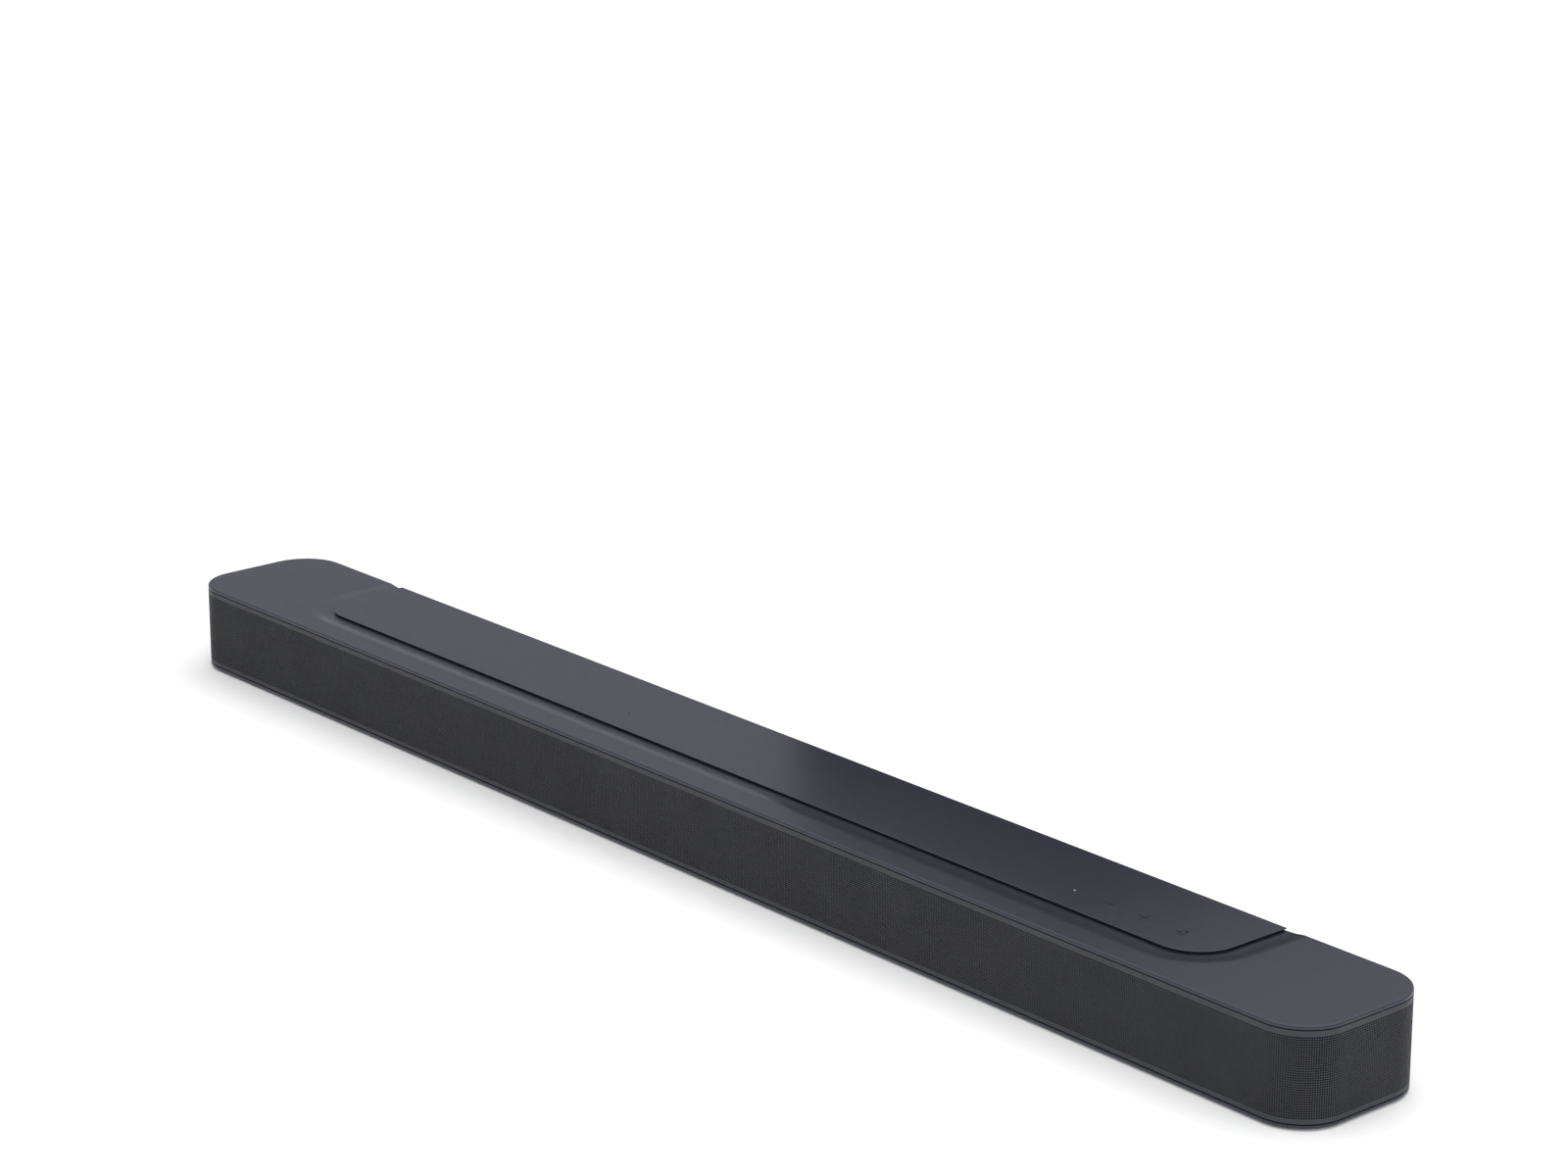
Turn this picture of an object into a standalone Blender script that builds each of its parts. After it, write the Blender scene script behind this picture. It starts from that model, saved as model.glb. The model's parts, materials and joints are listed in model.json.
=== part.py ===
"""Low, wide soundbar with a steel front grille, built as separate pieces in one assembly.

Frame: metres; the origin is the middle of the footprint, on the surface that the feet stand on.
+X runs to the listener's right along the bar, -Y is the front and +Z is up.
"""

import math

import bmesh
import bpy
from mathutils import Vector

MM = 0.001

# Overall size
LENGTH = 1018 * MM
DEPTH = 100 * MM
HEIGHT = 58 * MM
CORNER_RADIUS = 29 * MM
GAP = 0.3 * MM

FRONT_Y = -DEPTH / 2
REAR_Y = DEPTH / 2
END_X = LENGTH / 2

# Levels of the outer bands, from the feet up
CASE_BOTTOM = 1.2 * MM
CASE_TOP = 3.4 * MM
GROOVE = 0.7 * MM
SEAM = 0.5 * MM
LIP_HEIGHT = 2.2 * MM
BAND_LOW = CASE_TOP + GROOVE
COVER_LOW = HEIGHT - LIP_HEIGHT
BAND_HIGH = COVER_LOW - SEAM

# Walls
GRILLE_WALL = 0.8 * MM
CLOTH_WALL = 0.5 * MM
SHELL_WALL = 2.4 * MM
SPLIT_X = END_X - CORNER_RADIUS - 4 * MM

# Top cover and the raised panel that sits in its hollow
PANEL_HALF = 404 * MM
PANEL_FRONT = -18.5 * MM
PANEL_RADIUS = 27 * MM
PANEL_EDGE = 0.6 * MM
PANEL_UNDERCUT = 2.0 * MM
HOLLOW_DEPTH = 3.0 * MM
COVE_WIDTH = 17 * MM
COVE_DEPTH = 1.7 * MM
COVE_STEEPEST = 11 / 17
COVER_UNDERSIDE = HEIGHT - 5.6 * MM
COVER_INSET = 3.2 * MM
HOLLOW_FLOOR = HEIGHT - HOLLOW_DEPTH

# Controls in the panel
KEY_NAMES = ("key_power", "key_volume_down", "key_volume_up", "key_source")
KEY_FIRST_X = 291 * MM
KEY_PITCH = 26.8 * MM
KEY_Y = 2.3 * MM
KEY_RADIUS = 6.0 * MM
KEY_CLEARANCE = 0.3 * MM
KEY_CAP = 1.9 * MM
KEY_TRAVEL = 0.5 * MM
STEM_RADIUS = 1.8 * MM
STEM_CLEARANCE = 0.5 * MM
STEM_LENGTH = 7.4 * MM
SWITCH_HALF = 3 * MM
SWITCH_BODY = 1.3 * MM
SWITCH_HEIGHT = 1.7 * MM
BOARD_THICKNESS = 1.6 * MM
KEY_BOARD_TOP = HEIGHT - STEM_LENGTH - KEY_TRAVEL - 0.2 * MM - SWITCH_HEIGHT
KEY_BOARD_HALF = 9 * MM
KEY_BOARD_END = 20 * MM
LIGHT_RADIUS = 0.6 * MM
MICROPHONE_X = 99 * MM
PINHOLE_RADIUS = 0.6 * MM
MICROPHONE_HALF = (2 * MM, 1.5 * MM)
MICROPHONE_SEAT = 1.6 * MM

# Drivers: four racetrack woofers and three round tweeters on one baffle
BAFFLE_FRONT = FRONT_Y + 9.5 * MM
BAFFLE_WALL = 3.0 * MM
BAFFLE_HALF = 472 * MM
DRIVER_Z = 29.5 * MM
WOOFER_X = (-360 * MM, -150 * MM, 150 * MM, 360 * MM)
WOOFER_WIDTH = 90 * MM
WOOFER_HEIGHT = 44 * MM
TWEETER_X = {"left": -434 * MM, "centre": 0.0, "right": 434 * MM}
TWEETER_FLANGE = 17 * MM
DOME_RADIUS = 10 * MM
COIL_RADIUS = 8.4 * MM
MAGNET_RADIUS = 17 * MM

# Fixings
POST_PLACES = [(x, 22 * MM) for x in (-466 * MM, -240 * MM, 240 * MM, 466 * MM)]
POST_RADIUS = 3.6 * MM
POST_FOOT = CASE_TOP + 3 * MM
SCREW_RADIUS = 1.4 * MM
SCREW_HEAD = 2.8 * MM
SCREW_SEAT = CASE_TOP + 0.6 * MM
FOOT_PLACES = [(x, y) for y in (-26 * MM, 26 * MM) for x in (-400 * MM, 400 * MM)]
FOOT_RADIUS = 9 * MM
INSERT_X = (-330 * MM, 330 * MM)
INSERT_Z = 30 * MM
INSERT_RADIUS = 4.0 * MM
INSERT_BORE = 2.1 * MM
INSERT_LENGTH = 9 * MM
INSERT_WALL = 2.4 * MM

# Connector bays in the rear panel
BAY_DEPTH = 24 * MM
BAY_LOW = 13 * MM
BAY_HIGH = 43 * MM
SIGNAL_BAY = (-62 * MM, 62 * MM)
POWER_BAY = (147 * MM, 193 * MM)
BAY_FLOOR_Y = REAR_Y - BAY_DEPTH
PORT_X = {"hdmi_out": 44 * MM, "hdmi_in": 16 * MM, "optical_port": -14 * MM, "usb_port": -43 * MM}
PORT_SIZES = {
    "hdmi_out": (15.4 * MM, 6.2 * MM),
    "hdmi_in": (15.4 * MM, 6.2 * MM),
    "optical_port": (11.0 * MM, 11.4 * MM),
    "usb_port": (14.0 * MM, 7.2 * MM),
}
PORT_REACH = 12 * MM
PORT_WALL = 0.6 * MM
PORT_FACE_Y = BAY_FLOOR_Y + 0.6 * MM
OPTICAL_HALF = 4.2 * MM
OPTICAL_FLOOR = 1.5 * MM
OPTICAL_ROOF = 10.1 * MM
FLAP_HALF_WIDTH = 3.8 * MM
FLAP_HALF_WALL = 0.4 * MM
FLAP_DROP = 7.4 * MM
INLET_X = (POWER_BAY[0] + POWER_BAY[1]) / 2
INLET_Z = 28 * MM
INLET_WIDTH = 24 * MM
INLET_HEIGHT = 15 * MM
INLET_WELL = 8.6 * MM
PIN_PITCH = 8.6 * MM
PIN_RADIUS = 1.2 * MM

# Boards
MAIN_BOARD_TOP = 19.6 * MM
POWER_BOARD_TOP = 9.8 * MM
BOARD_FRONT = -10 * MM
BOARD_REAR = BAY_FLOOR_Y - SHELL_WALL - 0.6 * MM
MAIN_BOARD_HALF = 78 * MM
POWER_BOARD = (98 * MM, 228 * MM)
STAND_INSET = 6 * MM
STAND_Y = (-4 * MM, 16 * MM)
STAND_RADIUS = 3 * MM

# Components on the main board: centre, half size and height
CHIPS = {
    "processor": ((28 * MM, -2 * MM), 7 * MM, 1.6 * MM),
    "memory": ((48 * MM, 3 * MM), 5 * MM, 1.2 * MM),
    "wireless": ((66 * MM, 8 * MM), 6 * MM, 2.2 * MM),
    "codec": ((5 * MM, 2 * MM), 4 * MM, 1.2 * MM),
}

# Heat sink on the amplifier chips
FIN_COUNT = 5
FIN_PITCH = 3.6 * MM
FIN_WALL = 1.2 * MM
FIN_BASE = 2.4 * MM
FIN_TOP = 17 * MM
SINK_X = (-70 * MM, -18 * MM)

# Tall parts on the power board
TRANSFORMER_X = (112 * MM, 142 * MM)
TRANSFORMER_Y = (-8 * MM, 14 * MM)
CORE_BAR = 6 * MM
WINDING_RADIUS = 9.6 * MM
WINDING_TOP = 22 * MM
CAPACITOR_PLACE = (213 * MM, 2 * MM)
CAPACITOR_RADIUS = 8 * MM
CAPACITOR_HEIGHT = 31 * MM
RECTIFIER_X = (196 * MM, 199 * MM)
RECTIFIER_Y = (-6 * MM, 12 * MM)
RECTIFIER_HEIGHT = 18 * MM

# Leads
RIBBON_HALF = 6 * MM
RIBBON_WALL = 0.5 * MM
RIBBON_X = 82 * MM
RIBBON_BEND = 4 * MM
LOOM_RADIUS = 1.5 * MM
LOOM_HALF = 420 * MM
LOOM_Y = -22 * MM
LOOM_Z = CASE_TOP + 2.2 * MM
LOOM_POINTS = 41

# Colour, roughness and metallic value of each material
FINISHES = {
    "shell_plastic": ((0.075, 0.076, 0.088), 0.6, 0.0),
    "panel_plastic": ((0.07, 0.071, 0.083), 0.55, 0.0),
    "inner_plastic": ((0.03, 0.03, 0.032), 0.6, 0.0),
    "grille_paint": ((0.05, 0.051, 0.058), 0.55, 0.2),
    "cloth": ((0.012, 0.012, 0.013), 0.95, 0.0),
    "steel": ((0.55, 0.55, 0.54), 0.35, 1.0),
    "ferrite": ((0.05, 0.05, 0.052), 0.5, 0.4),
    "rubber": ((0.015, 0.015, 0.016), 0.8, 0.0),
    "paper": ((0.03, 0.03, 0.032), 0.85, 0.0),
    "silk": ((0.04, 0.04, 0.05), 0.5, 0.0),
    "board": ((0.01, 0.09, 0.04), 0.4, 0.0),
    "light_guide": ((0.9, 0.92, 0.95), 0.2, 0.0),
    "brass": ((0.75, 0.58, 0.28), 0.3, 1.0),
    "aluminium": ((0.7, 0.7, 0.72), 0.35, 1.0),
    "sleeve": ((0.02, 0.02, 0.07), 0.4, 0.0),
}

ARC_STEPS = 6
ROUND_STEPS = 12
FINE_STEPS = 16
SHARP_ANGLE = math.radians(35)


# ---------------------------------------------------------------- outlines


def arc(centre, radius, start, end, steps=ARC_STEPS):
    """Points on an arc in a plane, from one angle in degrees to another."""
    points = []
    for i in range(steps + 1):
        angle = math.radians(start + (end - start) * i / steps)
        points.append((centre[0] + radius * math.cos(angle), centre[1] + radius * math.sin(angle)))
    return points


def body_outline(inset=0.0):
    """The whole bar seen from above, anticlockwise, with its four round corners."""
    radius = CORNER_RADIUS - inset
    x, y = END_X - CORNER_RADIUS, REAR_Y - CORNER_RADIUS
    return (
        arc((x, y), radius, 0, 90)
        + arc((-x, y), radius, 90, 180)
        + arc((-x, -y), radius, 180, 270)
        + arc((x, -y), radius, 270, 360)
    )


def panel_outline(grown=0.0, rear=REAR_Y):
    """The panel's outline, grown at its front and sides, and square at the rear."""
    x = PANEL_HALF - PANEL_RADIUS
    y = PANEL_FRONT + PANEL_RADIUS
    radius = PANEL_RADIUS + grown
    left = arc((-x, y), radius, 180, 270)
    right = arc((x, y), radius, 270, 360)
    return [*left, *right, (PANEL_HALF + grown, rear), (-PANEL_HALF - grown, rear)]


def wrap_path(inset):
    """From the rear face, round the right end, the front and the left end, and back to the rear face."""
    x = END_X - CORNER_RADIUS
    front_y, rear_y = FRONT_Y + CORNER_RADIUS, REAR_Y - CORNER_RADIUS
    radius = CORNER_RADIUS - inset
    right = arc((x, rear_y), radius, 90, 0) + arc((x, front_y), radius, 0, -90)
    left = arc((-x, front_y), radius, 270, 180) + arc((-x, rear_y), radius, 180, 90)
    return [(SPLIT_X, REAR_Y - inset), *right, *left, (-SPLIT_X, REAR_Y - inset)]


def racetrack(width, height, steps=ROUND_STEPS):
    """A slot shape, or a circle where width and height are the same, with the same number of points."""
    radius = height / 2
    reach = (width - height) / 2
    half = steps // 2
    return arc((reach, 0), radius, -90, 90, half) + arc((-reach, 0), radius, 90, 270, half)


# ---------------------------------------------------------------- solids


def close_up(mesh):
    """Weld what coincides and turn every face outwards."""
    bmesh.ops.remove_doubles(mesh, verts=mesh.verts, dist=1e-6)
    bmesh.ops.recalc_face_normals(mesh, faces=mesh.faces)
    return mesh


def loft(rings, closed=False):
    """A skin through rings of equal counts, capped at both ends, or closed on itself like a tyre."""
    mesh = bmesh.new()
    loops = [[mesh.verts.new(point) for point in ring] for ring in rings]
    count = len(loops[0])
    pairs = list(zip(loops, loops[1:]))
    if closed:
        pairs.append((loops[-1], loops[0]))
    for first, second in pairs:
        for i in range(count):
            j = (i + 1) % count
            mesh.faces.new((first[i], first[j], second[j], second[i]))
    if not closed:
        mesh.faces.new(loops[0])
        mesh.faces.new(loops[-1])
    return close_up(mesh)


def upright(outline, z):
    """An outline drawn from above, at a height."""
    return [(x, y, z) for x, y in outline]


def facing(outline, y, centre=(0.0, 0.0)):
    """An outline drawn from the front, at a depth."""
    return [(centre[0] + u, y, centre[1] + v) for u, v in outline]


def prism(outline, low, high):
    return loft([upright(outline, low), upright(outline, high)])


def box(low, high):
    outline = [(low[0], low[1]), (high[0], low[1]), (high[0], high[1]), (low[0], high[1])]
    return prism(outline, low[2], high[2])


def turned(profile, along="Z", steps=ROUND_STEPS):
    """A profile of (radius, distance) points turned about an axis; its ends lie on the axis or meet."""
    mesh = bmesh.new()
    rings = []
    for radius, distance in profile:
        ring = []
        for i in range(steps if radius > 0 else 1):
            angle = 2 * math.pi * i / steps
            u, v = radius * math.cos(angle), radius * math.sin(angle)
            ring.append(mesh.verts.new((u, v, distance) if along == "Z" else (u, distance, v)))
        rings.append(ring)
    pairs = list(zip(rings, rings[1:]))
    if profile[0][0] > 0:
        pairs.append((rings[-1], rings[0]))
    for first, second in pairs:
        for i in range(steps):
            j = (i + 1) % steps
            corners = [ring[k % len(ring)] for ring, k in ((first, i), (first, j), (second, j), (second, i))]
            mesh.faces.new(list(dict.fromkeys(corners)))
    return close_up(mesh)


def cylinder(radius, low, high, along="Z", steps=ROUND_STEPS):
    return turned([(0, low), (radius, low), (radius, high), (0, high)], along, steps)


def moved(mesh, offset):
    bmesh.ops.translate(mesh, verts=mesh.verts, vec=Vector(offset))
    return mesh


# ---------------------------------------------------------------- objects


def clear_scene():
    for item in list(bpy.data.objects):
        bpy.data.objects.remove(item, do_unlink=True)


def finish(name, color, roughness, metallic):
    material = bpy.data.materials.new(name)
    material.use_nodes = True
    shader = material.node_tree.nodes["Principled BSDF"]
    shader.inputs["Base Color"].default_value = (*color, 1.0)
    shader.inputs["Roughness"].default_value = roughness
    shader.inputs["Metallic"].default_value = metallic
    return material


def add(name, mesh, material, origin=(0.0, 0.0, 0.0)):
    """One named piece; its mesh is drawn about its own origin."""
    data = bpy.data.meshes.new(name)
    mesh.to_mesh(data)
    mesh.free()
    data.materials.append(material)
    data.shade_smooth()
    data.set_sharp_from_angle(angle=SHARP_ANGLE)
    piece = bpy.data.objects.new(name, data)
    piece.location = origin
    bpy.context.scene.collection.objects.link(piece)
    return piece


def combine(piece, mesh, operation, label):
    """Join a shape to a piece, or cut it away, with a Boolean that stays on the piece."""
    data = bpy.data.meshes.new(label)
    mesh.to_mesh(data)
    mesh.free()
    tool = bpy.data.objects.new(f"{piece.name}_{label}", data)
    tool.hide_render = True
    tool.display_type = "WIRE"
    bpy.context.scene.collection.objects.link(tool)
    tool.parent = piece
    modifier = piece.modifiers.new(label, "BOOLEAN")
    modifier.operation = operation
    modifier.solver = "EXACT"
    modifier.object = tool


def join(piece, mesh, label):
    combine(piece, mesh, "UNION", label)


def cut(piece, mesh, label):
    combine(piece, mesh, "DIFFERENCE", label)


# ---------------------------------------------------------------- casing


def key_places():
    return [(KEY_FIRST_X + number * KEY_PITCH, KEY_Y, 0) for number in range(len(KEY_NAMES))]


def microphone_places():
    return {"left": -MICROPHONE_X, "right": MICROPHONE_X}


def cove_drop(share):
    """The valley's share of its full depth, from the rim (0) to the panel's edge (1)."""
    rim = 1 - COVE_STEEPEST
    if share < rim:
        return share ** 2 / rim
    return 1 - (1 - share) ** 2 / COVE_STEEPEST


def cove_rings():
    """The hollow round the panel: a shallow valley, steepest near its rim, then a pocket below."""
    beyond = REAR_Y + 10 * MM
    clear_of_top = 0.02 * MM
    rings = [upright(panel_outline(COVE_WIDTH, rear=beyond), HEIGHT + 2 * MM)]
    steps = 7
    for step in range(steps + 1):
        share = step / steps
        depth = COVE_DEPTH * cove_drop(share)
        outline = panel_outline(COVE_WIDTH * (1 - share), rear=beyond)
        rings.append(upright(outline, HEIGHT + (clear_of_top if step == 0 else -depth)))
    pocket = panel_outline(GAP - PANEL_UNDERCUT, rear=beyond)
    rings += [upright(pocket, HEIGHT - COVE_DEPTH), upright(pocket, HOLLOW_FLOOR)]
    return rings


def make_top_cover(plastic):
    lip_rings = [
        upright(body_outline(0.4 * MM), COVER_LOW),
        upright(body_outline(), COVER_LOW + 0.3 * MM),
        upright(body_outline(), HEIGHT - 1.3 * MM),
        upright(body_outline(0.45 * MM), HEIGHT - 0.4 * MM),
        upright(body_outline(1.4 * MM), HEIGHT),
    ]
    cover = add("top_cover", loft(lip_rings), plastic)
    join(cover, prism(body_outline(COVER_INSET), COVER_UNDERSIDE, HEIGHT - 1 * MM), "slab")
    cut(cover, loft(cove_rings()), "hollow")
    relief_half = (16 * MM, 38 * MM)
    for label, x in (("left", -440 * MM), ("right", 440 * MM)):
        low = (x - relief_half[0], -relief_half[1], COVER_UNDERSIDE - 1 * MM)
        cut(cover, box(low, (x + relief_half[0], relief_half[1], HEIGHT - 2.6 * MM)), f"relief_{label}")
    bore, root = SCREW_RADIUS + GAP, COVER_UNDERSIDE + 1 * MM
    for number, (x, y) in enumerate(POST_PLACES, 1):
        post = turned([(POST_RADIUS, POST_FOOT), (POST_RADIUS, root), (bore, root), (bore, POST_FOOT)])
        join(cover, moved(post, (x, y, 0)), f"post_{number}")
    for number, place in enumerate(key_places(), 1):
        hole = cylinder(STEM_RADIUS + STEM_CLEARANCE, COVER_UNDERSIDE - 1 * MM, HEIGHT)
        cut(cover, moved(hole, place), f"stem_hole_{number}")
    half_x, half_y = (half + 1 * MM for half in MICROPHONE_HALF)
    for label, x in microphone_places().items():
        low = (x - half_x, KEY_Y - half_y, HOLLOW_FLOOR - MICROPHONE_SEAT)
        cut(cover, box(low, (x + half_x, KEY_Y + half_y, HEIGHT)), f"microphone_seat_{label}")
    beyond_keys = 14 * MM
    for number, x in enumerate((key_places()[0][0] - beyond_keys, key_places()[-1][0] + beyond_keys), 1):
        peg = cylinder(2 * MM, KEY_BOARD_TOP + GAP, COVER_UNDERSIDE + 1 * MM)
        join(cover, moved(peg, (x, KEY_Y, 0)), f"board_peg_{number}")


def make_top_panel(plastic):
    underside = HOLLOW_FLOOR + GAP
    edge = HEIGHT - PANEL_EDGE
    rings = [
        upright(panel_outline(-PANEL_UNDERCUT), underside),
        upright(panel_outline(-PANEL_UNDERCUT), edge - 0.2 * MM),
        upright(panel_outline(-0.2 * MM), edge),
        upright(panel_outline(), edge + 0.15 * MM),
        upright(panel_outline(), HEIGHT - 0.3 * MM),
        upright(panel_outline(-0.3 * MM, rear=REAR_Y - 0.3 * MM), HEIGHT),
    ]
    panel = add("top_panel", loft(rings), plastic)
    ends = (underside - 1 * MM, HEIGHT + 1 * MM)
    for number, place in enumerate(key_places(), 1):
        hole = cylinder(KEY_RADIUS + KEY_CLEARANCE, *ends, steps=FINE_STEPS)
        cut(panel, moved(hole, place), f"key_hole_{number}")
    for label, x in microphone_places().items():
        cut(panel, moved(cylinder(PINHOLE_RADIUS, *ends), (x, KEY_Y, 0)), f"pinhole_{label}")


def make_bottom_case(plastic):
    rings = [
        upright(body_outline(1.0 * MM), CASE_BOTTOM),
        upright(body_outline(0.2 * MM), CASE_BOTTOM + 0.8 * MM),
        upright(body_outline(), CASE_BOTTOM + 1.4 * MM),
        upright(body_outline(), CASE_TOP),
    ]
    case = add("bottom_case", loft(rings), plastic)
    below, above = CASE_BOTTOM - 1 * MM, SCREW_SEAT + 5 * MM
    wide, narrow = SCREW_HEAD + 0.5 * MM, SCREW_RADIUS + GAP
    for number, (x, y) in enumerate(POST_PLACES, 1):
        boss = cylinder(POST_RADIUS + 1 * MM, CASE_TOP - 1 * MM, POST_FOOT - GAP)
        join(case, moved(boss, (x, y, 0)), f"boss_{number}")
        well = [(0, below), (wide, below), (wide, SCREW_SEAT)]
        passage = turned([*well, (narrow, SCREW_SEAT), (narrow, above), (0, above)])
        cut(case, moved(passage, (x, y, 0)), f"screw_passage_{number}")
    for number, (x, y) in enumerate(FOOT_PLACES, 1):
        seat = cylinder(FOOT_RADIUS + GAP, below, CASE_BOTTOM + 1.1 * MM, steps=FINE_STEPS)
        cut(case, moved(seat, (x, y, 0)), f"foot_seat_{number}")
    main_board = (-MAIN_BOARD_HALF, MAIN_BOARD_HALF)
    for label, span, top in (("main", main_board, MAIN_BOARD_TOP), ("power", POWER_BOARD, POWER_BOARD_TOP)):
        places = [(x, y) for x in (span[0] + STAND_INSET, span[1] - STAND_INSET) for y in STAND_Y]
        for number, (x, y) in enumerate(places, 1):
            stand = cylinder(STAND_RADIUS, CASE_TOP - 1 * MM, top - BOARD_THICKNESS - GAP)
            join(case, moved(stand, (x, y, 0)), f"{label}_board_stand_{number}")


def bay_box(span, grow=0.0, reach=0.0):
    low = (span[0] - grow, BAY_FLOOR_Y - grow, BAY_LOW - grow)
    high = (span[1] + grow, REAR_Y + reach, BAY_HIGH + grow)
    return box(low, high)


def make_rear_panel(plastic):
    low = (SEAM - SPLIT_X, REAR_Y - SHELL_WALL, BAND_LOW)
    panel = add("rear_panel", box(low, (SPLIT_X - SEAM, REAR_Y, BAND_HIGH)), plastic)
    for label, span in (("signal", SIGNAL_BAY), ("power", POWER_BAY)):
        join(panel, bay_box(span, SHELL_WALL, -1 * MM), f"{label}_bay_walls")
        cut(panel, bay_box(span, 0, 5 * MM), f"{label}_bay")
    for name, x in PORT_X.items():
        width, height = PORT_SIZES[name]
        low = (x - width / 2 - GAP, BAY_FLOOR_Y - 5 * MM, MAIN_BOARD_TOP)
        high = (x + width / 2 + GAP, BAY_FLOOR_Y + 5 * MM, MAIN_BOARD_TOP + height + 2 * GAP)
        cut(panel, box(low, high), f"{name}_window")
    window = racetrack(INLET_WIDTH + 2 * GAP, INLET_HEIGHT + 2 * GAP)
    ends = (BAY_FLOOR_Y - 5 * MM, BAY_FLOOR_Y + 5 * MM)
    cut(panel, loft([facing(window, y, (INLET_X, INLET_Z)) for y in ends]), "inlet_window")
    inner_end = REAR_Y - INSERT_LENGTH
    for number, x in enumerate(INSERT_X, 1):
        boss = cylinder(INSERT_RADIUS + INSERT_WALL, inner_end - 2 * MM, REAR_Y - 1.1 * MM, "Y", 14)
        join(panel, moved(boss, (x, 0, INSERT_Z)), f"insert_boss_{number}")
        bore = cylinder(INSERT_RADIUS + GAP, inner_end - 5 * MM, REAR_Y + 5 * MM, "Y", FINE_STEPS)
        cut(panel, moved(bore, (x, 0, INSERT_Z)), f"insert_bore_{number}")


def make_grille_and_cloth(steel, fabric):
    grille = wrap_path(0) + wrap_path(GRILLE_WALL)[::-1]
    add("front_grille", prism(grille, BAND_LOW, BAND_HIGH), steel)
    near = GRILLE_WALL + GAP
    cloth = wrap_path(near) + wrap_path(near + CLOTH_WALL)[::-1]
    add("acoustic_cloth", prism(cloth, BAND_LOW + 0.6 * MM, COVER_UNDERSIDE - 0.6 * MM), fabric)


def make_baffle(plastic):
    low = (-BAFFLE_HALF, BAFFLE_FRONT, CASE_TOP + GAP)
    high = (BAFFLE_HALF, BAFFLE_FRONT + BAFFLE_WALL, COVER_UNDERSIDE - GAP)
    baffle = add("front_baffle", box(low, high), plastic)
    ends = (BAFFLE_FRONT - 1 * MM, BAFFLE_FRONT + BAFFLE_WALL + 1 * MM)
    for number, x in enumerate(WOOFER_X, 1):
        slot = racetrack(WOOFER_WIDTH - 7 * MM, WOOFER_HEIGHT - 7 * MM)
        hole = loft([facing(slot, y, (x, DRIVER_Z)) for y in ends])
        cut(baffle, hole, f"woofer_hole_{number}")
    for side, x in TWEETER_X.items():
        hole = cylinder(DOME_RADIUS + 4 * MM, *ends, "Y", FINE_STEPS)
        cut(baffle, moved(hole, (x, 0, DRIVER_Z)), f"tweeter_hole_{side}")


# ---------------------------------------------------------------- drivers


def tracks(specs):
    """Racetrack rings from (width, height, y) triples."""
    return [facing(racetrack(width * MM, height * MM), y * MM) for width, height, y in specs]


def make_woofer(name, x, finishes):
    """A racetrack woofer facing forwards; y is counted in millimetres from the front of the baffle."""
    origin = (x, BAFFLE_FRONT, DRIVER_Z)
    mouth = 2 * (COIL_RADIUS / MM + 1)
    basket = [
        (90, 44, -2.2), (90, 44, -0.3), (82, 36, -0.3), (80, 34, 6),
        (46, 30, 13), (mouth, mouth, 13), (mouth, mouth, 11.4),
        (42, 26.6, 11.4), (76, 30.4, 4.6), (77, 31, -2.2),
    ]
    add(f"{name}_frame", loft(tracks(basket), closed=True), finishes["steel"], origin)
    pole, plate, groove = COIL_RADIUS - 1.4 * MM, COIL_RADIUS + 0.6 * MM, COIL_RADIUS + 2.3 * MM
    front, under_plate, groove_end, back = 13.3 * MM, 15.5 * MM, 23 * MM, 26 * MM
    magnet = [
        (0, front), (pole, front), (pole, groove_end), (groove, groove_end), (groove, under_plate),
        (plate, under_plate), (plate, front), (MAGNET_RADIUS, front), (MAGNET_RADIUS, back), (0, back),
    ]
    add(f"{name}_magnet", turned(magnet, "Y"), finishes["ferrite"], origin)
    add(f"{name}_surround", loft(tracks(surround_section()), closed=True), finishes["rubber"], origin)
    outer = 2 * COIL_RADIUS / MM
    inner = outer - 1.2
    cone = [
        (6, 6, 0.4), (inner - 3, inner - 3, 1.2), (outer + 0.6, outer + 0.6, 2.8), (64.4, 18.4, -2.6),
        (64.8, 18.8, -2.0), (outer + 1, outer + 1, 4.0), (outer, outer, 4.8), (outer, outer, 18.5),
        (inner, inner, 18.5), (inner, inner, 3.4), (6, 6, 1.2),
    ]
    add(f"{name}_cone", loft(tracks(cone)), finishes["paper"], origin)


def surround_section():
    """(width, height, y) triples round a half roll, from its glued rim over the roll to its neck and back."""
    base, wall, roll_radius, rise = -2.9, 0.4, 4.5, 2.6
    over, under = [], []
    for step in range(5):
        angle = math.radians(45 * step)
        inset = 2 * roll_radius * (1 - math.cos(angle))
        top = base - rise * math.sin(angle)
        lean = 0.8 * math.cos(angle)
        over.append((84 - inset, 38 - inset, top))
        under.append((84 - inset - lean, 38 - inset - lean, top + 0.6 * math.sin(angle)))
    neck = [(65.4, 19.4, base), (65.4, 19.4, base + wall)]
    return [(86, 40, base), *over, *neck, *under[::-1], (86, 40, base + wall)]


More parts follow.
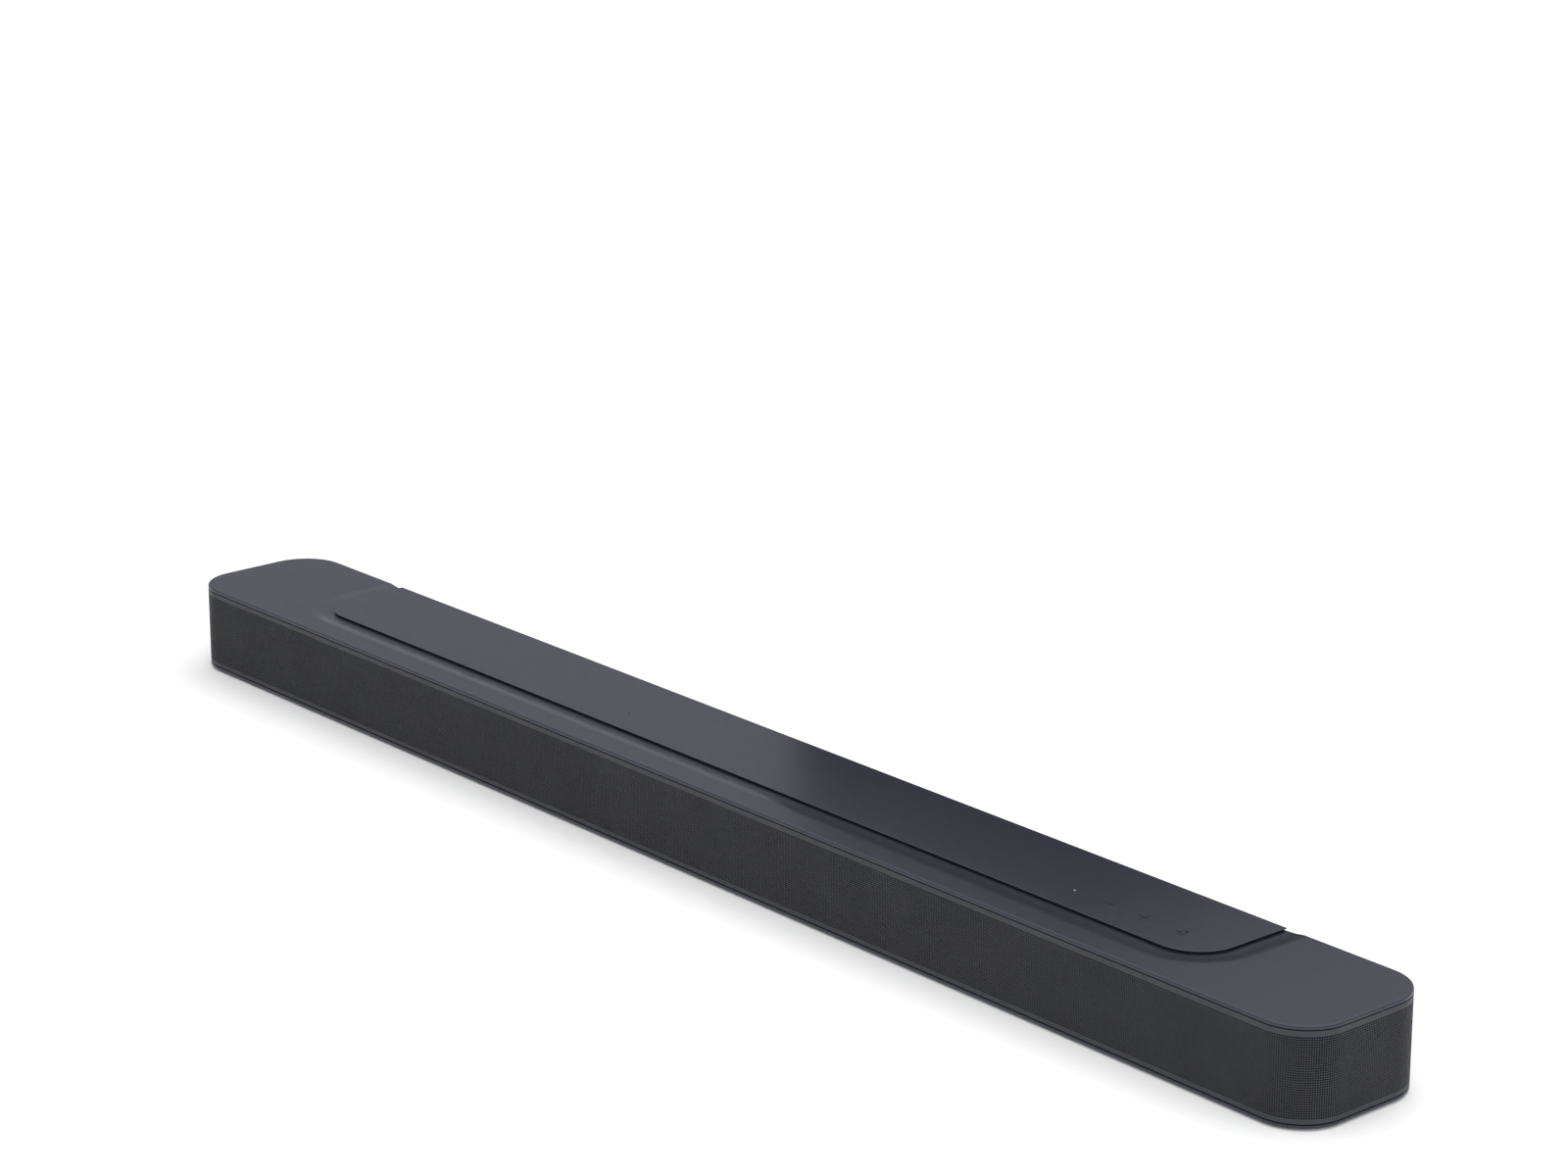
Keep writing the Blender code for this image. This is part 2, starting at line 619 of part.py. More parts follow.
def make_tweeter(side, x, finishes):
    """A dome tweeter facing forwards; the profiles count from the front of the baffle."""
    origin = (x, BAFFLE_FRONT, DRIVER_Z)
    pole, well, body = DOME_RADIUS - 1.4 * MM, DOME_RADIUS + 0.9 * MM, DOME_RADIUS + 3.4 * MM
    floor, back, lap = 8 * MM, 14 * MM, -GAP
    housing = [
        (0, 2.2 * MM), (pole, 2.2 * MM), (pole, floor), (well, floor), (well, 0),
        (well + 1.6 * MM, -2.6 * MM), (TWEETER_FLANGE, -2.0 * MM), (TWEETER_FLANGE, lap),
        (body, lap), (body, back), (0, back),
    ]
    add(f"tweeter_{side}_housing", turned(housing, "Y", FINE_STEPS), finishes["inner_plastic"], origin)
    outer, inner = DOME_RADIUS, DOME_RADIUS - 0.6 * MM
    skirt = 5 * MM
    dome = [
        (0, -2.6 * MM), (0.5 * outer, -2.0 * MM), (0.87 * outer, -0.6 * MM), (outer, 1.0 * MM),
        (outer, skirt), (inner, skirt), (inner, 1.4 * MM), (0.84 * inner, 0.0),
        (0.48 * inner, -1.4 * MM), (0, -2.0 * MM),
    ]
    add(f"tweeter_{side}_dome", turned(dome, "Y", FINE_STEPS), finishes["silk"], origin)


# ---------------------------------------------------------------- controls


def make_keys(plastic, clear):
    """Round caps level with the panel, each on a stem that reaches a switch below the cover."""
    collar = COVER_UNDERSIDE - HEIGHT - GAP
    collar_end = collar - 0.6 * MM
    collar_radius = STEM_RADIUS + 1.1 * MM
    profile = [
        (0, 0), (KEY_RADIUS - 0.2 * MM, 0), (KEY_RADIUS, -0.2 * MM), (KEY_RADIUS, -KEY_CAP),
        (STEM_RADIUS, -KEY_CAP), (STEM_RADIUS, collar), (collar_radius, collar), (collar_radius, collar_end),
        (STEM_RADIUS, collar_end), (STEM_RADIUS, -STEM_LENGTH), (0, -STEM_LENGTH),
    ]
    for name, (x, y, _) in zip(KEY_NAMES, key_places()):
        origin = (x, y, HEIGHT)
        key = add(name, turned(profile, steps=FINE_STEPS), plastic, origin)
        if name == "key_power":
            cut(key, cylinder(LIGHT_RADIUS + 0.1 * MM, -10 * MM, 2 * MM), "light_hole")
            lens = cylinder(LIGHT_RADIUS, 0.2 * MM - STEM_LENGTH, -0.05 * MM)
            add("status_lens", lens, clear, origin)


def make_key_board(board_green):
    first, last = key_places()[0][0] - KEY_BOARD_END, key_places()[-1][0] + KEY_BOARD_END
    low = (first, KEY_Y - KEY_BOARD_HALF, KEY_BOARD_TOP - BOARD_THICKNESS)
    board = add("key_board", box(low, (last, KEY_Y + KEY_BOARD_HALF, KEY_BOARD_TOP)), board_green)
    for number, place in enumerate(key_places(), 1):
        low = (-SWITCH_HALF, -SWITCH_HALF, KEY_BOARD_TOP - 0.5 * MM)
        body = box(low, (SWITCH_HALF, SWITCH_HALF, KEY_BOARD_TOP + SWITCH_BODY))
        join(board, moved(body, place), f"switch_{number}")
        plunger = cylinder(1.6 * MM, KEY_BOARD_TOP + 1 * MM, KEY_BOARD_TOP + SWITCH_HEIGHT)
        join(board, moved(plunger, place), f"plunger_{number}")


def make_microphones(metal):
    half_x, half_y = MICROPHONE_HALF
    for label, x in microphone_places().items():
        low = (x - half_x, KEY_Y - half_y, HOLLOW_FLOOR - MICROPHONE_SEAT + GAP)
        high = (x + half_x, KEY_Y + half_y, HOLLOW_FLOOR - 0.1 * MM)
        add(f"microphone_{label}", box(low, high), metal)


# ---------------------------------------------------------------- electronics


def make_main_board(board_green):
    low = (-MAIN_BOARD_HALF, BOARD_FRONT, MAIN_BOARD_TOP - BOARD_THICKNESS)
    board = add("main_board", box(low, (MAIN_BOARD_HALF, BOARD_REAR, MAIN_BOARD_TOP)), board_green)
    for label, ((x, y), half, tall) in CHIPS.items():
        chip_low = (x - half, y - half, MAIN_BOARD_TOP - 0.5 * MM)
        join(board, box(chip_low, (x + half, y + half, MAIN_BOARD_TOP + tall)), label)


def make_heat_sink(metal):
    """A comb of fins over the amplifier chips, drawn from the side and run along X."""
    outline = [(0, 0), ((FIN_COUNT - 1) * FIN_PITCH + FIN_WALL, 0)]
    for i in reversed(range(FIN_COUNT)):
        outline.append((i * FIN_PITCH + FIN_WALL, FIN_TOP))
        outline.append((i * FIN_PITCH, FIN_TOP))
        if i:
            outline.append((i * FIN_PITCH, FIN_BASE))
            outline.append(((i - 1) * FIN_PITCH + FIN_WALL, FIN_BASE))
    y, z = BOARD_FRONT + 1 * MM, MAIN_BOARD_TOP + GAP
    add("heat_sink", loft([[(x, y + u, z + v) for u, v in outline] for x in SINK_X]), metal)


def make_power_section(board_green, dark, sleeve):
    top = POWER_BOARD_TOP
    low = (POWER_BOARD[0], BOARD_FRONT, top - BOARD_THICKNESS)
    board = add("power_board", box(low, (POWER_BOARD[1], BOARD_REAR, top)), board_green)
    plate_low = (RECTIFIER_X[0], RECTIFIER_Y[0], top - 0.5 * MM)
    join(board, box(plate_low, (RECTIFIER_X[1], RECTIFIER_Y[1], top + RECTIFIER_HEIGHT)), "rectifier_plate")

    (x0, x1), (y0, y1) = TRANSFORMER_X, TRANSFORMER_Y
    core = add("transformer", box((x0, y0, top + GAP), (x1, y1, top + CORE_BAR)), dark)
    winding = cylinder(WINDING_RADIUS, top + CORE_BAR - 1 * MM, top + WINDING_TOP, steps=20)
    join(core, moved(winding, ((x0 + x1) / 2, (y0 + y1) / 2, 0)), "winding")
    upper = box((x0, y0, top + WINDING_TOP - 1 * MM), (x1, y1, top + WINDING_TOP + CORE_BAR - 1 * MM))
    join(core, upper, "core_top")

    can = cylinder(CAPACITOR_RADIUS, top + GAP, top + CAPACITOR_HEIGHT, steps=20)
    add("bulk_capacitor", can, sleeve, (*CAPACITOR_PLACE, 0))


def make_power_inlet(plastic):
    """A two-pole figure-of-eight inlet, open to the rear."""
    centre = (INLET_X, INLET_Z)
    shape = racetrack(INLET_WIDTH, INLET_HEIGHT)
    ends = (PORT_FACE_Y - PORT_REACH - 4 * MM, PORT_FACE_Y)
    inlet = add("power_inlet", loft([facing(shape, y, centre) for y in ends]), plastic)
    well = racetrack(PIN_PITCH + INLET_WELL, INLET_WELL)
    mouth = (PORT_FACE_Y - 13 * MM, PORT_FACE_Y + 2 * MM)
    cut(inlet, loft([facing(well, y, centre) for y in mouth]), "well")
    for side, label in ((-1, "left"), (1, "right")):
        pin = cylinder(PIN_RADIUS, PORT_FACE_Y - 15 * MM, PORT_FACE_Y - 3 * MM, "Y")
        join(inlet, moved(pin, (INLET_X + side * PIN_PITCH / 2, 0, INLET_Z)), f"pin_{label}")


def make_ports(metal):
    """Metal receptacles on the main board that look out through the bay's floor."""
    base = MAIN_BOARD_TOP + GAP
    inner_end = PORT_FACE_Y - PORT_REACH
    for name in ("hdmi_out", "hdmi_in", "usb_port"):
        width, height = PORT_SIZES[name]
        x, half = PORT_X[name], width / 2
        port = add(name, box((x - half, inner_end, base), (x + half, PORT_FACE_Y, base + height)), metal)
        low = (x - half + PORT_WALL, inner_end + 2 * MM, base + PORT_WALL)
        high = (x + half - PORT_WALL, PORT_FACE_Y + 2 * MM, base + height - PORT_WALL)
        cut(port, box(low, high), "mouth")
        middle = base + height / 2
        if name == "usb_port":
            middle += 1.1 * MM
        blade_low = (x - half + 2 * MM, inner_end + 1 * MM, middle - 0.7 * MM)
        blade_high = (x + half - 2 * MM, PORT_FACE_Y - 1.5 * MM, middle + 0.7 * MM)
        join(port, box(blade_low, blade_high), "tongue")


def make_optical_port(dark):
    """The square optical socket, and the flap that hangs behind its mouth."""
    base = MAIN_BOARD_TOP + GAP
    inner_end = PORT_FACE_Y - PORT_REACH
    width, height = PORT_SIZES["optical_port"]
    x, half = PORT_X["optical_port"], width / 2
    body = box((x - half, inner_end, base), (x + half, PORT_FACE_Y, base + height))
    socket = add("optical_port", body, dark)
    low = (x - OPTICAL_HALF, inner_end + 1.6 * MM, base + OPTICAL_FLOOR)
    cut(socket, box(low, (x + OPTICAL_HALF, PORT_FACE_Y + 2 * MM, base + OPTICAL_ROOF)), "cavity")
    flap_low = (-FLAP_HALF_WIDTH, -FLAP_HALF_WALL, -FLAP_DROP)
    flap = box(flap_low, (FLAP_HALF_WIDTH, FLAP_HALF_WALL, 0.3 * MM))
    add("optical_shutter", flap, dark, (x, PORT_FACE_Y - 0.9 * MM, base + OPTICAL_ROOF - 0.7 * MM))


def make_ribbon_lead(sheath):
    """The flat lead that runs under the cover from the key board and drops to the main board."""
    start = key_places()[0][0] - KEY_BOARD_END - 1 * MM
    leave = KEY_BOARD_TOP - 1.2 * MM
    high = COVER_UNDERSIDE - 1.6 * MM
    low = MAIN_BOARD_TOP + 3 * MM
    rise, wall = 6 * MM, RIBBON_WALL
    over = [
        (start, leave), (start - rise, high), (RIBBON_X + RIBBON_BEND, high),
        (RIBBON_X, high - RIBBON_BEND), (RIBBON_X, low),
    ]
    under = [
        (RIBBON_X + wall, low), (RIBBON_X + wall, high - RIBBON_BEND - wall * 0.4),
        (RIBBON_X + RIBBON_BEND + wall * 0.4, high - wall), (start - rise * 0.95, high - wall),
        (start, leave - wall),
    ]
    rings = [[(x, y, z) for x, z in over + under] for y in (KEY_Y - RIBBON_HALF, KEY_Y + RIBBON_HALF)]
    add("ribbon_lead", loft(rings), sheath)


def make_speaker_loom(sheath):
    """A loose round loom that weaves along the floor behind the baffle."""
    curve = bpy.data.curves.new("speaker_loom", "CURVE")
    curve.dimensions = "3D"
    curve.bevel_depth = LOOM_RADIUS
    curve.bevel_resolution = 2
    curve.use_fill_caps = True
    spline = curve.splines.new("POLY")
    spline.points.add(LOOM_POINTS - 1)
    for i in range(LOOM_POINTS):
        x = (2 * i / (LOOM_POINTS - 1) - 1) * LOOM_HALF
        sway = 2 * MM * math.cos(x / (60 * MM))
        spline.points[i].co = (x, LOOM_Y + sway, LOOM_Z, 1)
    curve.materials.append(sheath)
    loom = bpy.data.objects.new("speaker_loom", curve)
    bpy.context.scene.collection.objects.link(loom)


# ---------------------------------------------------------------- fixings


def make_feet(rubber):
    top = CASE_BOTTOM + 0.8 * MM
    edge = 0.5 * MM
    profile = [(0, 0), (FOOT_RADIUS - edge, 0), (FOOT_RADIUS, edge), (FOOT_RADIUS, top), (0, top)]
    for name, (x, y) in zip(("front_left", "front_right", "rear_left", "rear_right"), FOOT_PLACES):
        add(f"foot_{name}", turned(profile, steps=FINE_STEPS), rubber, (x, y, 0))


def make_screws(steel):
    """Case screws, driven up from wells in the underside into the cover's posts."""
    head_low = CASE_BOTTOM + 1.2 * MM
    head_high = SCREW_SEAT - GAP
    edge = 0.4 * MM
    tip = CASE_TOP + 15 * MM
    profile = [
        (0, head_low), (SCREW_HEAD - edge, head_low), (SCREW_HEAD, head_low + edge), (SCREW_HEAD, head_high),
        (SCREW_RADIUS, head_high), (SCREW_RADIUS, tip - 1 * MM), (0, tip),
    ]
    for number, (x, y) in enumerate(POST_PLACES, 1):
        add(f"case_screw_{number}", turned(profile, steps=10), steel, (x, y, 0))


def make_wall_inserts(brass):
    face = REAR_Y - 0.2 * MM
    end = face - INSERT_LENGTH
    profile = [(INSERT_BORE, face), (INSERT_RADIUS, face), (INSERT_RADIUS, end), (INSERT_BORE, end)]
    for number, x in enumerate(INSERT_X, 1):
        add(f"wall_insert_{number}", turned(profile, "Y", FINE_STEPS), brass, (x, 0, INSERT_Z))


def main():
    clear_scene()
    finishes = {name: finish(name, *values) for name, values in FINISHES.items()}
    make_top_cover(finishes["shell_plastic"])
    make_top_panel(finishes["panel_plastic"])
    make_bottom_case(finishes["shell_plastic"])
    make_rear_panel(finishes["shell_plastic"])
    make_grille_and_cloth(finishes["grille_paint"], finishes["cloth"])
    make_baffle(finishes["inner_plastic"])
    for number, x in enumerate(WOOFER_X, 1):
        make_woofer(f"woofer_{number}", x, finishes)
    for side, x in TWEETER_X.items():
        make_tweeter(side, x, finishes)
    make_keys(finishes["panel_plastic"], finishes["light_guide"])
    make_key_board(finishes["board"])
    make_microphones(finishes["steel"])
    make_main_board(finishes["board"])
    make_heat_sink(finishes["aluminium"])
    make_power_section(finishes["board"], finishes["ferrite"], finishes["sleeve"])
    make_power_inlet(finishes["inner_plastic"])
    make_ports(finishes["steel"])
    make_optical_port(finishes["inner_plastic"])
    make_ribbon_lead(finishes["inner_plastic"])
    make_speaker_loom(finishes["inner_plastic"])
    make_feet(finishes["rubber"])
    make_screws(finishes["steel"])
    make_wall_inserts(finishes["brass"])


main()
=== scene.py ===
"""The looks of the soundbar: fine meshes, procedural materials, a plain stage, soft lights and the camera.

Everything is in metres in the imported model's frame: +X runs along the bar to the listener's right,
-Y is the front and +Z is up. Places come from the CAD nodes' boxes.
"""

import json
import math

import bmesh
import bpy
import numpy as np
from mathutils import Matrix, Vector


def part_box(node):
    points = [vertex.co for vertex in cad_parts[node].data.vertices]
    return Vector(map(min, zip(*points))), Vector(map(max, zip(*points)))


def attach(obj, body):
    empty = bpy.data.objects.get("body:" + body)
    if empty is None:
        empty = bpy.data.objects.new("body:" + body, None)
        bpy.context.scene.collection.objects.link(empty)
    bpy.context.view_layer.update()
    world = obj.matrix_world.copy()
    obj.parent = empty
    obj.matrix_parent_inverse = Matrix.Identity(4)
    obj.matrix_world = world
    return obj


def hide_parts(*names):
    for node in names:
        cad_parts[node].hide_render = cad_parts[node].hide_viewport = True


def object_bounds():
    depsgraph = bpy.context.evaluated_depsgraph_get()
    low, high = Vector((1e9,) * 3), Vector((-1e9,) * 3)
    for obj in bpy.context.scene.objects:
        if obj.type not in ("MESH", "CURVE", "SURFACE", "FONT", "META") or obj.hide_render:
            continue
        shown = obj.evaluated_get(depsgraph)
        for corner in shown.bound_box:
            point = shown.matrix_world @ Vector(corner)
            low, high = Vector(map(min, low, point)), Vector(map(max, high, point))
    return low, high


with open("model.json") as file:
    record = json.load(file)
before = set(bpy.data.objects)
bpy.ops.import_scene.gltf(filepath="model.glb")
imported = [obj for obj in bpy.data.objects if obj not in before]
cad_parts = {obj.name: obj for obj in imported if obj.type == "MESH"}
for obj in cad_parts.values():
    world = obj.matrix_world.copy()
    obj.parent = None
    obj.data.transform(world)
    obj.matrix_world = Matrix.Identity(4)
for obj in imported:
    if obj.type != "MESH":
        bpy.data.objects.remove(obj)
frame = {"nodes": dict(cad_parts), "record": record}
CAD_LOW, CAD_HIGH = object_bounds()

MM = 0.001

# The bar's outer size
END_X, REAR_Y, TOP_Z = CAD_HIGH
FRONT_Y = CAD_LOW.y
CORNER = 29 * MM
CORNER_X = END_X - CORNER
CORNER_Y = REAR_Y - CORNER

# Levels of the bands
GRILLE_LOW, GRILLE_HIGH = (corner.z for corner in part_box("front_grille"))
SEAM = 0.5 * MM
LIP_LOW = GRILLE_HIGH + SEAM
CASE_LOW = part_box("bottom_case")[0].z
CASE_TOP = 3.4 * MM
SLAB_LOW = 52.4 * MM
SLAB_INSET = 3.2 * MM
SPLIT_X = CORNER_X - 4 * MM

# The top shell's lip: (inset, rise) of its underside, and its upper radius
LIP_STEPS = ((0.55 * MM, 0), (0.25 * MM, 0.06 * MM), (0.07 * MM, 0.2 * MM), (0, 0.4 * MM))
LIP_RADIUS = 1.1 * MM

# The raised panel and the valley round it
PANEL_LOW, PANEL_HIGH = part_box("top_panel")
PANEL_RADIUS = 27 * MM
PANEL_EDGE = 0.6 * MM
PANEL_ROUND = 0.35 * MM
PANEL_UNDERCUT = 2.0 * MM
POCKET_FLOOR = 55 * MM
COVE_WIDTH = 17 * MM
COVE_DEPTH = 1.7 * MM
COVE_STEEPEST = 11 / 17
COVE_STEPS = 24
GAP = 0.3 * MM

# Controls
KEYS = {
    "key_power": "power_button",
    "key_volume_down": "volume_down_button",
    "key_volume_up": "volume_up_button",
    "key_source": "source_button",
}
KEY_RADIUS = 6.1 * MM
KEY_THICKNESS = 1.9 * MM
KEY_HAIRLINE = 0.05 * MM
KEY_BROKEN = 0.02 * MM
STEM_RADIUS = 1.8 * MM
COLLAR_RADIUS = 2.9 * MM
COLLAR_THICKNESS = 0.6 * MM
LIGHT_BORE = 0.7 * MM
LENS_RISE = 0.12 * MM
PINHOLE_RADIUS = 0.6 * MM
SIGN_REACH = 4.1 * MM
SIGN_STROKE = 1.1 * MM
SIGN_RISE = 0.3 * MM
SOURCE_REACH = 2.9 * MM
SOURCE_STROKE = 0.85 * MM

# Cross-section of a raised stroke: share of its half width taken off, share of its rise
SIGN_SECTION = ((0, -1), (0, 0.3), (0.1, 0.65), (0.28, 0.9), (0.55, 1.0))

# Perforated sheet and the cloth behind it
GRILLE_WALL = 0.8 * MM
CLOTH_WALL = 0.5 * MM
CLOTH_STATIONS = 320
PITCH = 1.3 * MM
HOLE = 0.96 * MM
BAND_ABOVE = 3.0 * MM
BAND_BELOW = 2.6 * MM
BAND_ENDS = 3.0 * MM
GRILLE_PARTS = 5

# Base, feet and screws
BASE_ROUND = 1.5 * MM
BASE_ROUND_RISE = 1.2 * MM
RIB_OUTER = 2.9 * MM
RIB_INNER = 4.2 * MM
RIB_HEIGHT = 2.4 * MM
FEET = ("foot_front_left", "foot_front_right", "foot_rear_left", "foot_rear_right")
FOOT_WELL_DEPTH = 1.1 * MM
GRIP_DEPTH = 0.15 * MM
SCREWS = tuple(f"case_screw_{number}" for number in range(1, 5))
SCREW_WELL_RADIUS = 3.3 * MM
SCREW_SHANK = 1.4 * MM
THREAD_PITCH = 0.9 * MM
THREAD_DEPTH = 0.22 * MM
CROSS_HALF_LENGTH = 1.5 * MM
CROSS_HALF_WIDTH = 0.3 * MM
CROSS_DEPTH = 0.9 * MM

# Rear plate and its bays
REAR_WALL = 2.4 * MM
REAR_RADIUS = 0.8 * MM
BAY_Z = (13 * MM, 43 * MM)
BAYS = {"signal": (-62 * MM, 62 * MM), "power": (147 * MM, 193 * MM)}
BAY_FLOOR = REAR_Y - 24 * MM
BAY_RADIUS = 2 * MM
BAY_FLARE = 0.8 * MM
WINDOW_FLARE = 0.3 * MM
WINDOW_REACH = 5 * MM
INSERTS = ("wall_insert_1", "wall_insert_2")

# Sockets
SQUARE_PORTS = ("optical_port", "usb_port")
HDMI_PORTS = ("hdmi_out", "hdmi_in")
HDMI_CHAMFER = 1.9 * MM
SOCKET_WALL = 0.45 * MM
TONGUE_THICKNESS = 1.2 * MM
CONTACT_WIDTH = 0.45 * MM
CONTACT_THICKNESS = 0.14 * MM
CONTACT_PITCH = 1.0 * MM
HDMI_CONTACTS = 10
USB_CONTACTS = 4
PIN_RADIUS = 1.2 * MM
PIN_TIP = 0.9 * MM
PIN_PITCH = 8.6 * MM
WELL_HEIGHT = 8.6 * MM
WELL_DEPTH = 13 * MM

# Fineness of round outlines, the angle that stays a crisp edge, and how far cutters run past the rear
ARC_STEPS = 24
ROUND_STEPS = 48
SHARP_ANGLE = math.radians(30)
BEYOND = 10 * MM

# A wave texture of scale 1 has a ridge every pi / 10 metres
WAVE_PERIOD = math.pi / 10


# -------- materials


class Paint:
    """A material under construction, with short names for the nodes used again and again."""

    def __init__(self, name, metallic=0.0, coat=0.0):
        self.material = bpy.data.materials.new(name)
        self.material.use_nodes = True
        self.tree = self.material.node_tree
        self.shader = self.tree.nodes["Principled BSDF"]
        self.give("Metallic", metallic)
        self.give("Coat Weight", coat)
        self.place = self.add("ShaderNodeTexCoord").outputs["Object"]
        self.relief = None

    def feed(self, socket, value):
        """Link an output to a socket, or set the socket's constant."""
        if isinstance(value, bpy.types.NodeSocket):
            self.tree.links.new(value, socket)
        else:
            socket.default_value = value

    def give(self, name, value):
        """Feed one of the shader's own sockets."""
        self.feed(self.shader.inputs[name], value)

    def add(self, kind, values=None, **settings):
        """A node with its settings, and a value or a link on each named socket."""
        node = self.tree.nodes.new(kind)
        for key, value in settings.items():
            setattr(node, key, value)
        for socket, value in (values or {}).items():
            self.feed(node.inputs[socket], value)
        return node

    def stretched(self, factors):
        """The object's own coordinates, scaled by a factor along each axis."""
        values = {0: self.place, 1: factors}
        return self.add("ShaderNodeVectorMath", values, operation="MULTIPLY").outputs[0]

    def noise(self, size, detail=2.0, place=None):
        """Soft noise whose spots are about the given size in metres."""
        values = {"Vector": place or self.place, "Scale": 1 / size, "Detail": detail}
        return self.add("ShaderNodeTexNoise", values).outputs["Fac"]

    def cells(self, size):
        """Distance from the middles of cells about the given size in metres."""
        values = {"Vector": self.place, "Scale": 1 / size}
        return self.add("ShaderNodeTexVoronoi", values, feature="F1").outputs["Distance"]

    def waves(self, size, direction, distortion=0.0):
        """Parallel ridges, one every size metres."""
        values = {"Vector": self.place, "Scale": WAVE_PERIOD / size, "Distortion": distortion}
        return self.add("ShaderNodeTexWave", values, bands_direction=direction).outputs["Fac"]

    def between(self, factor, low, high, start=0.35, end=0.65):
        """A number that runs from low to high as factor runs from start to end."""
        values = {"Value": factor, "From Min": start, "From Max": end, "To Min": low, "To Max": high}
        return self.add("ShaderNodeMapRange", values).outputs["Result"]

    def math(self, operation, first, second):
        return self.add("ShaderNodeMath", {0: first, 1: second}, operation=operation).outputs[0]

    def color(self, factor, dark, light, start=0.35, end=0.65):
        """Base colour that runs between two colours."""
        ramp = self.add("ShaderNodeValToRGB", {"Fac": factor})
        first, last = ramp.color_ramp.elements
        first.position, last.position = start, end
        first.color, last.color = (*dark, 1), (*light, 1)
        self.give("Base Color", ramp.outputs["Color"])

    def roughness(self, factor, low, high):
        self.give("Roughness", self.between(factor, low, high))

    def bump(self, height, depth, strength):
        """Add a relief of the given depth in metres on top of those added before."""
        values = {"Strength": strength, "Distance": depth, "Height": height}
        if self.relief:
            values["Normal"] = self.relief
        self.relief = self.add("ShaderNodeBump", values).outputs["Normal"]
        self.give("Normal", self.relief)


def tinted(color, share):
    return tuple(channel * share for channel in color)


CHARCOAL = (0.018, 0.0185, 0.028)
COOL_SHEEN = (0.82, 0.84, 1.0, 1)


def moulded(name, color, roughness, grain=0.35 * MM, depth=0.03 * MM):
    """Moulded plastic with a fine spark-eroded grain and faint cloudiness."""
    paint = Paint(name)
    paint.give("Specular Tint", COOL_SHEEN)
    clouds = paint.noise(70 * MM, 2)
    specks = paint.noise(grain * 2.2, 2)
    blend = paint.math("ADD", paint.math("MULTIPLY", clouds, 0.3), paint.math("MULTIPLY", specks, 0.7))
    paint.color(blend, tinted(color, 0.94), tinted(color, 1.06))
    paint.roughness(paint.noise(6 * MM, 2), roughness - 0.01, roughness + 0.01)
    paint.bump(paint.noise(grain, 2), depth, 0.5)
    return paint.material


def powder_coat(name, color):
    """Satin powder coat: a low orange peel under a fine grit."""
    paint = Paint(name)
    paint.give("Specular IOR Level", 0.25)
    paint.color(paint.noise(30 * MM, 3), tinted(color, 0.93), tinted(color, 1.07))
    paint.roughness(paint.noise(3 * MM), 0.42, 0.55)
    paint.bump(paint.noise(0.9 * MM, 1), 0.03 * MM, 0.35)
    paint.bump(paint.noise(0.2 * MM, 2), 0.012 * MM, 0.5)
    return paint.material


def acoustic_mesh(name, color):
    """A plain black weave of round threads, 0.35 mm apart."""
    paint = Paint(name)
    thread, wobble = 0.35 * MM, 0.15
    weave = paint.math("MAXIMUM", paint.waves(thread, "DIAGONAL", wobble), paint.waves(thread, "Z", wobble))
    paint.color(weave, tinted(color, 0.4), tinted(color, 1.4), 0.3, 1.0)
    paint.give("Roughness", 0.9)
    paint.give("Sheen Weight", 0.15)
    paint.bump(weave, 0.1 * MM, 0.8)
    return paint.material


def sheet_metal(name, color, roughness, direction=(1, 1, 25), blotch=9 * MM):
    """Rolled or plated sheet: fine streaks along one way, and soft blotches."""
    paint = Paint(name, metallic=1.0)
    streaks = paint.noise(6 * MM, 4, paint.stretched(direction))
    clouds = paint.noise(blotch, 3)
    paint.color(paint.math("MULTIPLY", paint.math("ADD", streaks, clouds), 0.5), tinted(color, 0.82), color)
    paint.roughness(streaks, roughness - 0.08, roughness + 0.1)
    paint.bump(streaks, 0.02 * MM, 0.3)
    return paint.material


def granular(name, color, roughness, grain, depth, metallic=0.0):
    """A matt body with a visible grain, such as ferrite or moulded rubber."""
    paint = Paint(name, metallic=metallic)
    grains = paint.cells(grain)
    paint.color(grains, tinted(color, 1.25), tinted(color, 0.75), 0.1, 0.8)
    paint.roughness(paint.noise(grain * 6, 3), roughness - 0.07, roughness + 0.07)
    paint.bump(grains, depth, 0.5)
    return paint.material


def fibrous(name, color, roughness):
    """Pressed pulp: long soft fibres in every direction, with a matt coating."""
    paint = Paint(name)
    lengthwise = paint.noise(1.2 * MM, 4, paint.stretched((0.25, 1, 1)))
    rising = paint.noise(1.2 * MM, 4, paint.stretched((1, 1, 0.25)))
    fibres = paint.math("MAXIMUM", lengthwise, rising)
    paint.color(fibres, tinted(color, 0.7), tinted(color, 1.3), 0.45, 0.7)
    paint.roughness(fibres, roughness - 0.1, roughness + 0.05)
    paint.bump(fibres, 0.08 * MM, 0.5)
    return paint.material


def woven_dome(name, color):
    """Coated silk: a fine weave under a tacky, slightly glossy coat."""
    paint = Paint(name, coat=0.25)
    weave = paint.math("MAXIMUM", paint.waves(0.3 * MM, "X"), paint.waves(0.3 * MM, "Z"))
    paint.color(weave, tinted(color, 0.7), tinted(color, 1.2), 0.2, 1.0)
    paint.roughness(paint.noise(2 * MM), 0.45, 0.6)
    paint.bump(weave, 0.04 * MM, 0.5)
    return paint.material


# A Mix node's colour sockets share their names with others, so they are found by number
MIX_FIRST, MIX_SECOND, MIX_RESULT = 6, 7, 2
SOLDER = (0.55, 0.55, 0.5, 1)


